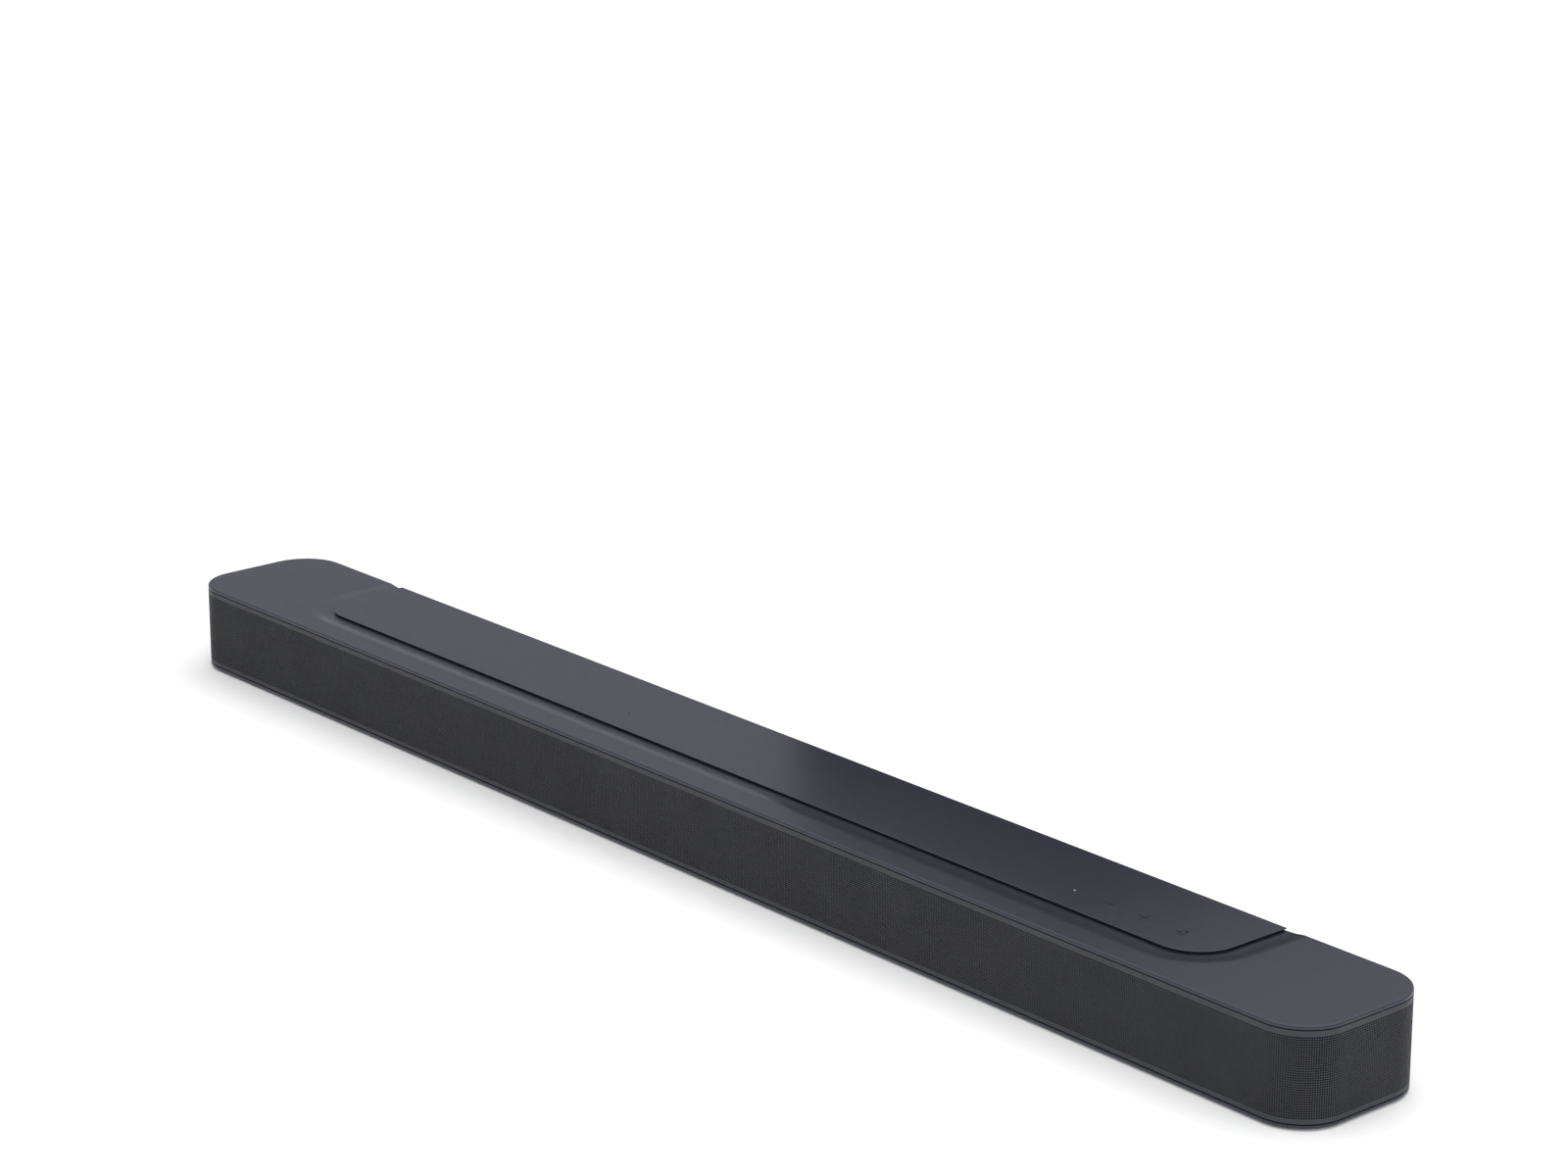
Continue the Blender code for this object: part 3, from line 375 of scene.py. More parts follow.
def circuit_board(name, color):
    """Green solder mask with raised tracks and tinned pads under it."""
    paint = Paint(name, coat=0.5)
    values = {"Vector": paint.place, "Scale": 1 / (9 * MM), "Mortar Size": 0.06}
    for socket, share in (("Color1", 0.8), ("Color2", 1.0), ("Mortar", 1.9)):
        values[socket] = (*tinted(color, share), 1)
    tracks = paint.add("ShaderNodeTexBrick", values, offset=0.5)
    pads = paint.between(paint.cells(4.5 * MM), 1.0, 0.0, 0.12, 0.16)
    values = {"Factor": pads, MIX_FIRST: tracks.outputs["Color"], MIX_SECOND: SOLDER}
    mix = paint.add("ShaderNodeMix", values, data_type="RGBA")
    paint.give("Base Color", mix.outputs[MIX_RESULT])
    paint.roughness(paint.noise(5 * MM), 0.3, 0.45)
    paint.bump(tracks.outputs["Fac"], 0.04 * MM, 0.5)
    return paint.material


def ribbed(name, color, roughness, pitch, direction, depth, metallic=0.0, coat=0.0):
    """Regular ridges over a faintly cloudy colour: knurls, flat leads, sleeves and extrusions."""
    paint = Paint(name, metallic=metallic, coat=coat)
    ridges = paint.waves(pitch, direction)
    paint.color(paint.noise(4 * MM, 3), tinted(color, 0.85), tinted(color, 1.1))
    paint.roughness(paint.noise(2 * MM, 3), roughness - 0.06, roughness + 0.06)
    paint.bump(ridges, depth, 0.6)
    return paint.material


def light_guide(name):
    """The end of the light guide, lit from below by a white diode."""
    paint = Paint(name, coat=0.5)
    paint.color(paint.noise(0.3 * MM), (0.3, 0.33, 0.42), (0.45, 0.49, 0.6))
    paint.roughness(paint.noise(0.2 * MM), 0.2, 0.35)
    paint.give("Emission Color", (0.75, 0.83, 1.0, 1))
    paint.give("Emission Strength", 0.12)
    return paint.material


MATERIALS = {
    "shell_plastic": moulded("shell_plastic", CHARCOAL, 0.3),
    "panel_plastic": moulded("panel_plastic", tinted(CHARCOAL, 0.97), 0.31),
    # The signs' plastic is painted far darker than the panel's: painted shade that stands in for the shadows
    # on and round the raised strokes
    "sign_plastic_painted_shade": moulded("sign_plastic_painted_shade", tinted(CHARCOAL, 0.3), 0.22, grain=0.2 * MM, depth=0.005 * MM),
    "inner_plastic": moulded("inner_plastic", (0.02, 0.02, 0.021), 0.5),
    "grille_paint": powder_coat("grille_paint", (0.034, 0.035, 0.042)),
    "cloth": acoustic_mesh("cloth", (0.006, 0.006, 0.0065)),
    "steel": sheet_metal("steel", (0.6, 0.6, 0.58), 0.36),
    "screw_steel": sheet_metal("screw_steel", (0.1, 0.1, 0.105), 0.4, (1, 1, 1), 2 * MM),
    "ferrite": granular("ferrite", (0.05, 0.05, 0.052), 0.5, 0.5 * MM, 0.04 * MM, 0.3),
    "rubber": granular("rubber", (0.018, 0.018, 0.019), 0.75, 0.4 * MM, 0.03 * MM),
    "paper": fibrous("paper", (0.03, 0.03, 0.032), 0.8),
    "silk": woven_dome("silk", (0.035, 0.035, 0.042)),
    "board": circuit_board("board", (0.012, 0.1, 0.045)),
    "light_guide": light_guide("light_guide"),
    "brass": ribbed("brass", (0.78, 0.6, 0.3), 0.3, 0.6 * MM, "X", 0.12 * MM, metallic=1.0),
    "gold": ribbed("gold", (0.95, 0.72, 0.33), 0.25, 1.0 * MM, "Y", 0.01 * MM, metallic=1.0),
    "aluminium": ribbed("aluminium", (0.72, 0.72, 0.74), 0.35, 0.5 * MM, "Z", 0.02 * MM, metallic=1.0),
    "sleeve": ribbed("sleeve", (0.02, 0.02, 0.06), 0.3, 6 * MM, "Z", 0.03 * MM, coat=0.3),
    "sheath": ribbed("sheath", (0.025, 0.025, 0.027), 0.5, 1.0 * MM, "Y", 0.15 * MM),
}


# -------- mesh tools


def arc(centre, radius, start, end, steps=ARC_STEPS):
    """Points on an arc in a plane, from one angle in degrees to another."""
    angles = [math.radians(start + (end - start) * i / steps) for i in range(steps + 1)]
    return [(centre[0] + radius * math.cos(a), centre[1] + radius * math.sin(a)) for a in angles]


def rounded(width, height, radius, steps=8, centre=(0.0, 0.0)):
    """A rounded rectangle, anticlockwise."""
    x, y = width / 2 - radius, height / 2 - radius
    points = []
    for sx, sy, start in ((1, 1, 0), (-1, 1, 90), (-1, -1, 180), (1, -1, 270)):
        points += arc((centre[0] + sx * x, centre[1] + sy * y), radius, start, start + 90, steps)
    return points


def body_outline(inset):
    return rounded(2 * (END_X - inset), 2 * (REAR_Y - inset), CORNER - inset, ARC_STEPS)


def panel_outline(grown, rear=REAR_Y):
    """The panel's outline, grown at its front and sides, and square at the rear."""
    x = PANEL_HIGH.x - PANEL_RADIUS
    y = PANEL_LOW.y + PANEL_RADIUS
    radius = PANEL_RADIUS + grown
    left, right = arc((-x, y), radius, 180, 270), arc((x, y), radius, 270, 360)
    return [*left, *right, (PANEL_HIGH.x + grown, rear), (-PANEL_HIGH.x - grown, rear)]


def upright(outline, z):
    """An outline drawn from above, at a height."""
    return [(x, y, z) for x, y in outline]


def facing(outline, y, centre):
    """An outline drawn from the front, at a depth."""
    return [(centre[0] + u, y, centre[1] + v) for u, v in outline]


def close_up(mesh):
    """Weld what coincides and turn every face outwards."""
    bmesh.ops.remove_doubles(mesh, verts=mesh.verts, dist=1e-6)
    bmesh.ops.recalc_face_normals(mesh, faces=mesh.faces)
    return mesh


def loft(rings):
    """A skin through rings of equal counts, capped at both ends."""
    mesh = bmesh.new()
    loops = [[mesh.verts.new(point) for point in ring] for ring in rings]
    count = len(loops[0])
    for first, second in zip(loops, loops[1:]):
        for i in range(count):
            j = (i + 1) % count
            mesh.faces.new((first[i], first[j], second[j], second[i]))
    mesh.faces.new(loops[0])
    mesh.faces.new(loops[-1])
    return close_up(mesh)


def turned(profile, along="Z", steps=ROUND_STEPS):
    """A profile of (radius, distance) points, with its ends on the axis, turned about that axis."""
    mesh = bmesh.new()
    rings = []
    for radius, distance in profile:
        ring = []
        for i in range(steps if radius > 0 else 1):
            angle = 2 * math.pi * i / steps
            u, v = radius * math.cos(angle), radius * math.sin(angle)
            ring.append(mesh.verts.new((u, v, distance) if along == "Z" else (u, distance, v)))
        rings.append(ring)
    for first, second in zip(rings, rings[1:]):
        for i in range(steps):
            j = (i + 1) % steps
            corners = [ring[k % len(ring)] for ring, k in ((first, i), (first, j), (second, j), (second, i))]
            mesh.faces.new(list(dict.fromkeys(corners)))
    return close_up(mesh)


def fillet(radius, steps=5):
    """(inset, drop) pairs round an outside edge, from its side up to its top."""
    angles = [math.radians(90 * i / steps) for i in range(steps + 1)]
    return [(radius * (1 - math.cos(a)), radius * (1 - math.sin(a))) for a in angles]


def moved(mesh, offset):
    bmesh.ops.translate(mesh, verts=mesh.verts, vec=Vector(offset))
    return mesh


def settled(mesh, name):
    """A shape under construction, stored as mesh data."""
    data = bpy.data.meshes.new(name)
    mesh.to_mesh(data)
    mesh.free()
    return data


def placed(name, data):
    """A new object in the scene."""
    made = bpy.data.objects.new(name, data)
    bpy.context.scene.collection.objects.link(made)
    return made


def gathered(meshes):
    """Several shapes that don't touch, as one."""
    total = bmesh.new()
    for mesh in meshes:
        data = settled(mesh, "part")
        total.from_mesh(data)
        bpy.data.meshes.remove(data)
    return total


PIECES = []


def piece(name, mesh, material, body="casing", replaces=()):
    """A finished piece that rides on a body."""
    data = settled(mesh, name) if isinstance(mesh, bmesh.types.BMesh) else mesh
    data.materials.append(MATERIALS[material])
    made = placed(name, data)
    PIECES.append(made)
    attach(made, body)
    if replaces:
        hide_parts(*replaces)
    return made


def reshape(target, shape, operation="DIFFERENCE"):
    """Cut a shape out of a piece, or join it on, for good."""
    data = settled(shape, "tool")
    tool = placed("tool", data)
    modifier = target.modifiers.new("shape", "BOOLEAN")
    modifier.operation = operation
    modifier.solver = "EXACT"
    modifier.object = tool
    evaluated = target.evaluated_get(bpy.context.evaluated_depsgraph_get())
    target.data = bpy.data.meshes.new_from_object(evaluated)
    target.modifiers.remove(modifier)
    bpy.data.objects.remove(tool)
    bpy.data.meshes.remove(data)


def shade(made):
    """Smooth round faces, keep corners crisp and flat faces flat."""
    made.data.shade_smooth()
    made.data.set_sharp_from_angle(angle=SHARP_ANGLE)
    weighted = made.modifiers.new("normals", "WEIGHTED_NORMAL")
    weighted.keep_sharp = True
    weighted.weight = 100


# -------- top cover and panel


def cove_drop(share):
    """The valley's share of its full depth, at a share of the way from its rim to the panel's edge."""
    rim = 1 - COVE_STEEPEST
    if share < rim:
        return share ** 2 / rim
    return 1 - (1 - share) ** 2 / COVE_STEEPEST


def make_cover():
    """The top shell: a rounded lip round a slab, with a valley and a pocket for the panel."""
    rings = [upright(body_outline(SLAB_INSET), SLAB_LOW), upright(body_outline(SLAB_INSET), LIP_LOW)]
    rings += [upright(body_outline(inset), LIP_LOW + rise) for inset, rise in LIP_STEPS]
    rings += [upright(body_outline(inset), TOP_Z - drop) for inset, drop in fillet(LIP_RADIUS, 6)]
    cover = piece("top_cover_shell", loft(rings), "shell_plastic", replaces=["top_cover"])
    beyond, clear_of_top = REAR_Y + BEYOND, 0.01 * MM
    hollow = [upright(panel_outline(COVE_WIDTH, beyond), TOP_Z + 2 * MM)]
    for step in range(COVE_STEPS + 1):
        share = step / COVE_STEPS
        depth = COVE_DEPTH * cove_drop(share) - clear_of_top * (1 - share)
        hollow.append(upright(panel_outline(COVE_WIDTH * (1 - share), beyond), TOP_Z - depth))
    pocket = panel_outline(GAP - PANEL_UNDERCUT, beyond)
    hollow += [upright(pocket, TOP_Z - COVE_DEPTH), upright(pocket, POCKET_FLOOR)]
    reshape(cover, loft(hollow))


def make_panel():
    """The raised panel with its overhanging edge, key holes and microphone pinholes."""
    base, edge = PANEL_LOW.z, TOP_Z - PANEL_EDGE
    steps = [
        (-PANEL_UNDERCUT, base),
        (-PANEL_UNDERCUT, edge - 0.2 * MM),
        (-PANEL_UNDERCUT + 0.2 * MM, edge - 0.03 * MM),
        (-0.2 * MM, edge),
        (-0.05 * MM, edge + 0.05 * MM),
        (0.0, edge + 0.15 * MM),
    ]
    rings = [upright(panel_outline(grown), z) for grown, z in steps]
    for inset, drop in fillet(PANEL_ROUND):
        rings.append(upright(panel_outline(-inset, REAR_Y - inset), TOP_Z - drop))
    panel = piece("top_panel_skin", loft(rings), "panel_plastic", replaces=["top_panel"])
    holes = []
    for name in KEYS:
        holes.append(moved(hole_cutter(KEY_RADIUS + KEY_HAIRLINE), middle(name)))
    for name in ("microphone_left", "microphone_right"):
        holes.append(moved(hole_cutter(PINHOLE_RADIUS), middle(name)))
    reshape(panel, gathered(holes))


def middle(node):
    """The centre of a node's box seen from above, at height 0."""
    low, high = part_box(node)
    return ((low.x + high.x) / 2, (low.y + high.y) / 2, 0)


def hole_cutter(radius):
    """A round hole through the panel with a slightly broken edge."""
    below, above = PANEL_LOW.z - 2 * MM, TOP_Z + 2 * MM
    profile = [
        (0, below),
        (radius, below),
        (radius, TOP_Z - KEY_BROKEN),
        (radius + KEY_BROKEN, TOP_Z),
        (radius + KEY_BROKEN, above),
        (0, above),
    ]
    return turned(profile)


# -------- keys


def make_key(name, body):
    """A cap flush with the panel on a stem with a collar."""
    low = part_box(name)[0].z
    cap_low, collar_high = TOP_Z - KEY_THICKNESS, SLAB_LOW - GAP
    collar_low = collar_high - COLLAR_THICKNESS
    profile = [
        (0, TOP_Z),
        (KEY_RADIUS - KEY_BROKEN, TOP_Z),
        (KEY_RADIUS, TOP_Z - KEY_BROKEN),
        (KEY_RADIUS, cap_low),
        (STEM_RADIUS, cap_low),
        (STEM_RADIUS, collar_high),
        (COLLAR_RADIUS, collar_high),
        (COLLAR_RADIUS, collar_low),
        (STEM_RADIUS, collar_low),
        (STEM_RADIUS, low),
        (0, low),
    ]
    cap = moved(turned(profile), middle(name))
    made = piece(f"{name}_cap", cap, "panel_plastic", body, replaces=[name])
    if name == "key_power":
        below, above = low - 1 * MM, TOP_Z + 1 * MM
        tube = [(0, below), (LIGHT_BORE, below), (LIGHT_BORE, above), (0, above)]
        reshape(made, moved(turned(tube, steps=24), middle(name)))


def bar(start, end, place, stroke):
    """A raised stroke with round ends and a rounded back, between two points of a sign."""
    first, last = Vector(start), Vector(end)
    along = last - first
    turn = math.atan2(along.y, along.x)
    rings = []
    for share, height in SIGN_SECTION:
        radius = stroke / 2 * (1 - share)
        outline = arc((along.length, 0), radius, -90, 90, 10) + arc((0, 0), radius, 90, 270, 10)
        ring = []
        for u, v in outline:
            x = first.x + u * math.cos(turn) - v * math.sin(turn)
            y = first.y + u * math.sin(turn) + v * math.cos(turn)
            ring.append((place[0] + x, place[1] + y, TOP_Z + SIGN_RISE * height))
        rings.append(ring)
    return loft(rings)


def make_sign(name, strokes, stroke, key):
    """Strokes joined into one raised sign on a key."""
    first, *others = [bar(start, end, middle(key), stroke) for start, end in strokes]
    # The signs take the darker plastic, whose colour is painted shade
    made = piece(name, first, "sign_plastic_painted_shade", KEYS[key])
    for other in others:
        reshape(made, other, "UNION")


def make_signs():
    """Minus, plus, and an arrow that enters an open frame."""
    level = ((-SIGN_REACH, 0), (SIGN_REACH, 0))
    make_sign("sign_minus", [level], SIGN_STROKE, "key_volume_down")
    make_sign("sign_plus", [level, ((0, -SIGN_REACH), (0, SIGN_REACH))], SIGN_STROKE, "key_volume_up")
    far, near = SOURCE_REACH, -0.1 * SOURCE_REACH
    tip, head = 0.25 * SOURCE_REACH, 0.45 * SOURCE_REACH
    frame_strokes = [((near, far), (far, far)), ((far, far), (far, -far)), ((far, -far), (near, -far))]
    arrow_strokes = [((-far, 0), (tip, 0)), ((tip, 0), (tip - head, head)), ((tip, 0), (tip - head, -head))]
    make_sign("sign_source", frame_strokes, SOURCE_STROKE, "key_source")
    make_sign("sign_source_arrow", arrow_strokes, SOURCE_STROKE, "key_source")


def make_status_light():
    """A small domed light guide in the middle of the power key."""
    low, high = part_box("status_lens")
    radius = (high.x - low.x) / 2
    dome = [(radius * math.cos(a), high.z + LENS_RISE * math.sin(a)) for a in np.radians([0, 30, 60])]
    profile = [(0, low.z), (radius, low.z), *dome, (0, high.z + LENS_RISE)]
    lens = moved(turned(profile, steps=24), middle("status_lens"))
    piece("status_light", lens, "light_guide", KEYS["key_power"], replaces=["status_lens"])


# -------- grille and cloth


def wrap_runs():
    """The plan line of the wrapped sheet: straight and round runs from the right of the rear to its left."""
    quarter = CORNER * math.pi / 2
    side, front, hem = 2 * CORNER_Y, 2 * CORNER_X, CORNER_X - SPLIT_X
    return [
        ("line", hem, (SPLIT_X, REAR_Y), 0),
        ("turn", quarter, (CORNER_X, CORNER_Y), 90),
        ("line", side, (END_X, CORNER_Y), -90),
        ("turn", quarter, (CORNER_X, -CORNER_Y), 0),
        ("line", front, (CORNER_X, FRONT_Y), 180),
        ("turn", quarter, (-CORNER_X, -CORNER_Y), -90),
        ("line", side, (-END_X, -CORNER_Y), 90),
        ("turn", quarter, (-CORNER_X, CORNER_Y), 180),
        ("line", hem, (-CORNER_X, REAR_Y), 0),
    ]


WRAP = wrap_runs()
WRAP_LENGTH = sum(run[1] for run in WRAP)


def wrap_point(distance, inset):
    """The point on the sheet at a distance along its outer face, moved inwards by inset."""
    for run in WRAP:
        kind, length, (x, y), angle = run
        if distance <= length or run is WRAP[-1]:
            break
        distance -= length
    if kind == "turn":
        now = math.radians(angle) - distance / CORNER
        radius = CORNER - inset
        return x + radius * math.cos(now), y + radius * math.sin(now)
    heading = math.radians(angle)
    dx, dy = math.cos(heading), math.sin(heading)
    return x + dx * distance + dy * inset, y + dy * distance - dx * inset


def perforated_sheet(columns, rows, low, high, holed):
    """A sheet with a square hole in each cell marked as holed, closed at its edges.

    columns and rows are the cells' borders along the sheet and upwards, low and high are the start and
    end of a hole within its cell as shares, and holed tells which cells have one.
    """
    across, up = len(columns) - 1, len(rows) - 1
    points = []
    for inset in (0.0, GRILLE_WALL):
        plan = np.array([wrap_point(s, inset) for s in columns])
        lattice = np.empty((across + 1, up + 1, 3))
        lattice[..., :2] = plan[:, None]
        lattice[..., 2] = rows[None]
        points.append(lattice.reshape(-1, 3))
    cells = np.argwhere(holed)
    width, height = np.diff(columns), np.diff(rows)
    for inset in (0.0, GRILLE_WALL):
        near = np.array([wrap_point(s, inset) for s in columns[:-1] + low * width])
        far = np.array([wrap_point(s, inset) for s in columns[:-1] + high * width])
        bottom, top = rows[:-1] + low * height, rows[:-1] + high * height
        corners = np.empty((len(cells), 4, 3))
        for k, (side, level) in enumerate(((near, bottom), (far, bottom), (far, top), (near, top))):
            corners[:, k, :2] = side[cells[:, 0]]
            corners[:, k, 2] = level[cells[:, 1]]
        points.append(corners.reshape(-1, 3))
    starts = np.cumsum([0] + [len(p) for p in points])

    def lattice_at(i, j, side):
        return starts[side] + i * (up + 1) + j

    def around(i, j, side):
        steps = ((0, 0), (1, 0), (1, 1), (0, 1))
        return [lattice_at(i + right, j + rise, side) for right, rise in steps]

    plain = np.argwhere(~holed)
    outer = around(plain[:, 0], plain[:, 1], 0)
    inner = around(plain[:, 0], plain[:, 1], 1)
    faces = [np.stack(outer[::-1], 1), np.stack(inner, 1)]
    rim = [around(cells[:, 0], cells[:, 1], side) for side in (0, 1)]
    count = np.arange(len(cells)) * 4
    mouth = [[starts[2 + side] + count + k for k in range(4)] for side in (0, 1)]
    for k in range(4):
        n = (k + 1) % 4
        faces.append(np.stack([rim[0][n], rim[0][k], mouth[0][k], mouth[0][n]], 1))
        faces.append(np.stack([rim[1][k], rim[1][n], mouth[1][n], mouth[1][k]], 1))
        faces.append(np.stack([mouth[0][n], mouth[0][k], mouth[1][k], mouth[1][n]], 1))
    i, j = np.arange(across), np.arange(up)
    borders = [(i, 0, i + 1, 0), (i + 1, up, i, up), (0, j + 1, 0, j), (across, j, across, j + 1)]
    for a, b, c, d in borders:
        edge = [lattice_at(a, b, 0), lattice_at(c, d, 0), lattice_at(c, d, 1), lattice_at(a, b, 1)]
        faces.append(np.stack(edge, 1))
    return np.concatenate(points), np.concatenate(faces)


def even_steps(start, end, pitch):
    return np.linspace(start, end, round((end - start) / pitch) + 1)


def make_grille():
    """The perforated sheet, in several lengths that meet inside a web."""
    columns = even_steps(BAND_ENDS, WRAP_LENGTH - BAND_ENDS, PITCH)
    rows = even_steps(GRILLE_LOW + BAND_BELOW, GRILLE_HIGH - BAND_ABOVE, PITCH)
    columns = np.concatenate([[0.0], columns, [WRAP_LENGTH]])
    rows = np.concatenate([[GRILLE_LOW], rows, [GRILLE_HIGH]])
    holed = np.ones((len(columns) - 1, len(rows) - 1), bool)
    holed[[0, -1]] = False
    holed[:, [0, -1]] = False
    web = (1 - HOLE / PITCH) / 2
    cuts = np.linspace(0, len(columns) - 1, GRILLE_PARTS + 1).round().astype(int)
    for number, (first, last) in enumerate(zip(cuts, cuts[1:]), 1):
        points, faces = perforated_sheet(columns[first : last + 1], rows, web, 1 - web, holed[first:last])
        name = f"grille_length_{number}"
        data = bpy.data.meshes.new(name)
        data.from_pydata(points.tolist(), [], faces.tolist())
        piece(name, data, "grille_paint", replaces=["front_grille"])


def make_cloth():
    """The black mesh stretched behind the grille."""
    low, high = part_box("acoustic_cloth")
    near = GRILLE_WALL + GAP
    far = near + CLOTH_WALL
    stations = np.linspace(0, WRAP_LENGTH, CLOTH_STATIONS)
    outline = [wrap_point(s, near) for s in stations] + [wrap_point(s, far) for s in stations[::-1]]
    wrap = loft([upright(outline, low.z), upright(outline, high.z)])
    cloth = piece("cloth_wrap", wrap, "cloth", replaces=["acoustic_cloth"])


# -------- base and rear


def make_base():
    """The bottom shell with its locating rib, foot seats and screw wells."""
    steps = [(BASE_ROUND, CASE_LOW)]
    for turn in np.radians([18, 36, 54, 72, 90]):
        inset, rise = BASE_ROUND * (1 - math.sin(turn)), BASE_ROUND_RISE * (1 - math.cos(turn))
        steps.append((inset, CASE_LOW + rise))
    steps += [
        (0.0, CASE_TOP - 0.25 * MM),
        (0.08 * MM, CASE_TOP - 0.08 * MM),
        (0.3 * MM, CASE_TOP),
        (RIB_OUTER, CASE_TOP),
        (RIB_OUTER, CASE_TOP + RIB_HEIGHT),
        (RIB_INNER, CASE_TOP + RIB_HEIGHT),
        (RIB_INNER, CASE_TOP),
    ]
    rings = [upright(body_outline(inset), z) for inset, z in steps]
    base = piece("bottom_shell", loft(rings), "shell_plastic", replaces=["bottom_case"])
    wells = []
    for name in FEET:
        cutter = well_cutter(foot_radius(name) + 0.35 * MM, CASE_LOW + FOOT_WELL_DEPTH, 0.3 * MM)
        wells.append(moved(cutter, middle(name)))
    for name in SCREWS:
        cutter = well_cutter(SCREW_WELL_RADIUS, CASE_TOP - 0.3 * MM, 0.35 * MM)
        wells.append(moved(cutter, middle(name)))
    reshape(base, gathered(wells))


def foot_radius(name):
    low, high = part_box(name)
    return (high.x - low.x) / 2


def well_cutter(radius, roof, broken):
    """A round well cut upwards into the underside, with a broken edge."""
    below = CASE_LOW - 2 * MM
    profile = [
        (0, below),
        (radius + broken, below),
        (radius + broken, CASE_LOW),
        (radius, CASE_LOW + broken),
        (radius, roof),
        (0, roof),
    ]
    return turned(profile)


def make_feet():
    """Rubber pads with a softened rim and two grip rings."""
    for name in FEET:
        radius, top = foot_radius(name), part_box(name)[1].z
        profile = [(0, GRIP_DEPTH)]
        for start, end in ((0.3, 0.5), (0.6, 0.8)):
            profile += [(start * radius, GRIP_DEPTH), (start * radius + 0.2 * MM, 0)]
            profile += [(end * radius, 0), (end * radius + 0.2 * MM, GRIP_DEPTH)]
        profile += [(radius - 1.0 * MM, GRIP_DEPTH), (radius - 0.9 * MM, 0), (radius - 0.6 * MM, 0)]
        for inset, drop in reversed(fillet(0.6 * MM)[:-1]):
            profile.append((radius - inset, drop))
        profile += [(radius, top), (0, top)]
        pad = moved(turned(profile, steps=64), middle(name))
        piece(f"{name}_pad", pad, "rubber", replaces=[name])


def make_screws():
    """Pan heads with a cross recess, deep in their wells."""
    long, short = CROSS_HALF_LENGTH, CROSS_HALF_WIDTH
    for name in SCREWS:
        low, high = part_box(name)
        head = (high.x - low.x) / 2
        head_top = CASE_TOP + 0.3 * MM
        profile = [(0, low.z), (0.6 * head, low.z), (0.88 * head, low.z + 0.12 * MM)]
        profile += [(head, low.z + 0.45 * MM), (head, head_top), (SCREW_SHANK, head_top)]
        z = head_top + 1 * MM
        while z < high.z - 2 * MM:
            profile += [(SCREW_SHANK, z), (SCREW_SHANK - THREAD_DEPTH, z + THREAD_PITCH / 2)]
            z += THREAD_PITCH
        profile += [(SCREW_SHANK, high.z - 1 * MM), (0, high.z)]
        body = moved(turned(profile, steps=32), middle(name))
        screw = piece(f"{name}_body", body, "screw_steel", replaces=[name])
        x, y, _ = middle(name)
        for half_x, half_y in ((long, short), (short, long)):
            slot = rounded(2 * half_x, 2 * half_y, 0.1 * MM, 2, (x, y))
            taper = rounded(1.6 * half_x, 1.6 * half_y, 0.1 * MM, 2, (x, y))
            levels = ((slot, low.z - 1 * MM), (slot, low.z), (taper, low.z + CROSS_DEPTH))
            reshape(screw, loft([upright(outline, z) for outline, z in levels]))


def recess(outline, centre, y0, y1, flare):
    """A cutter that runs along Y, with an outline that grows at its flared rear mouth."""
    levels = [(y0, 0.0), (y1 - flare, 0.0)]
    for angle in (22, 45, 67, 90):
        turn = math.radians(angle)
        levels.append((y1 - flare + flare * math.sin(turn), flare * (1 - math.cos(turn))))
    levels.append((y1 + 3 * MM, flare))
    return loft([facing(outline(grow), y, centre) for y, grow in levels])


def tub(span_x, span_z, y0, y1, radius, flare=0.0):
    """A rounded shape that runs along Y, or a cutter with a flared rear mouth."""
    width, height = span_x[1] - span_x[0], span_z[1] - span_z[0]
    centre = ((span_x[0] + span_x[1]) / 2, (span_z[0] + span_z[1]) / 2)

    def outline(grow):
        return rounded(width + 2 * grow, height + 2 * grow, radius + grow)

    if flare:
        return recess(outline, centre, y0, y1, flare)
    return loft([facing(outline(0.0), y, centre) for y in (y0, y1)])


def insert_place(name):
    """The axis of an insert, its radius and its inner end."""
    low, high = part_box(name)
    x, z = centre_of(name)
    return (x, 0, z), (high.x - low.x) / 2, low.y


def insert_boss(name):
    """The round wall about an insert."""
    centre, radius, end = insert_place(name)
    radius, back, front = radius + REAR_WALL, end - 2 * MM, REAR_Y - 1 * MM
    return moved(turned([(0, back), (radius, back), (radius, front), (0, front)], "Y"), centre)


def insert_bore(name):
    """A cutter for the bore that holds an insert, with a broken edge."""
    centre, radius, end = insert_place(name)
    radius, broken, back, front = radius + 0.15 * MM, 0.3 * MM, end - 5 * MM, REAR_Y + 2 * MM
    profile = [
        (0, back),
        (radius, back),
        (radius, REAR_Y - broken),
        (radius + broken, REAR_Y),
        (radius + broken, front),
        (0, front),
    ]
    return moved(turned(profile, "Y"), centre)


def socket_windows():
    """Cutters through the bays' floors, one for each socket."""
    back = BAY_FLOOR - WINDOW_REACH
    windows = []
    for name in HDMI_PORTS:
        outline = hdmi_outline(*size_of(name))
        windows.append(recess(outline, centre_of(name), back, BAY_FLOOR, WINDOW_FLARE))
    for name in SQUARE_PORTS:
        low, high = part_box(name)
        span_x, span_z = (low.x, high.x), (low.z, high.z)
        windows.append(tub(span_x, span_z, back, BAY_FLOOR, 0.6 * MM, WINDOW_FLARE))
    low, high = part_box("power_inlet")
    gap = 0.2 * MM
    span_x, span_z = (low.x - gap, high.x + gap), (low.z - gap, high.z + gap)
    windows.append(tub(span_x, span_z, back, BAY_FLOOR, 7 * MM, WINDOW_FLARE))
    return windows


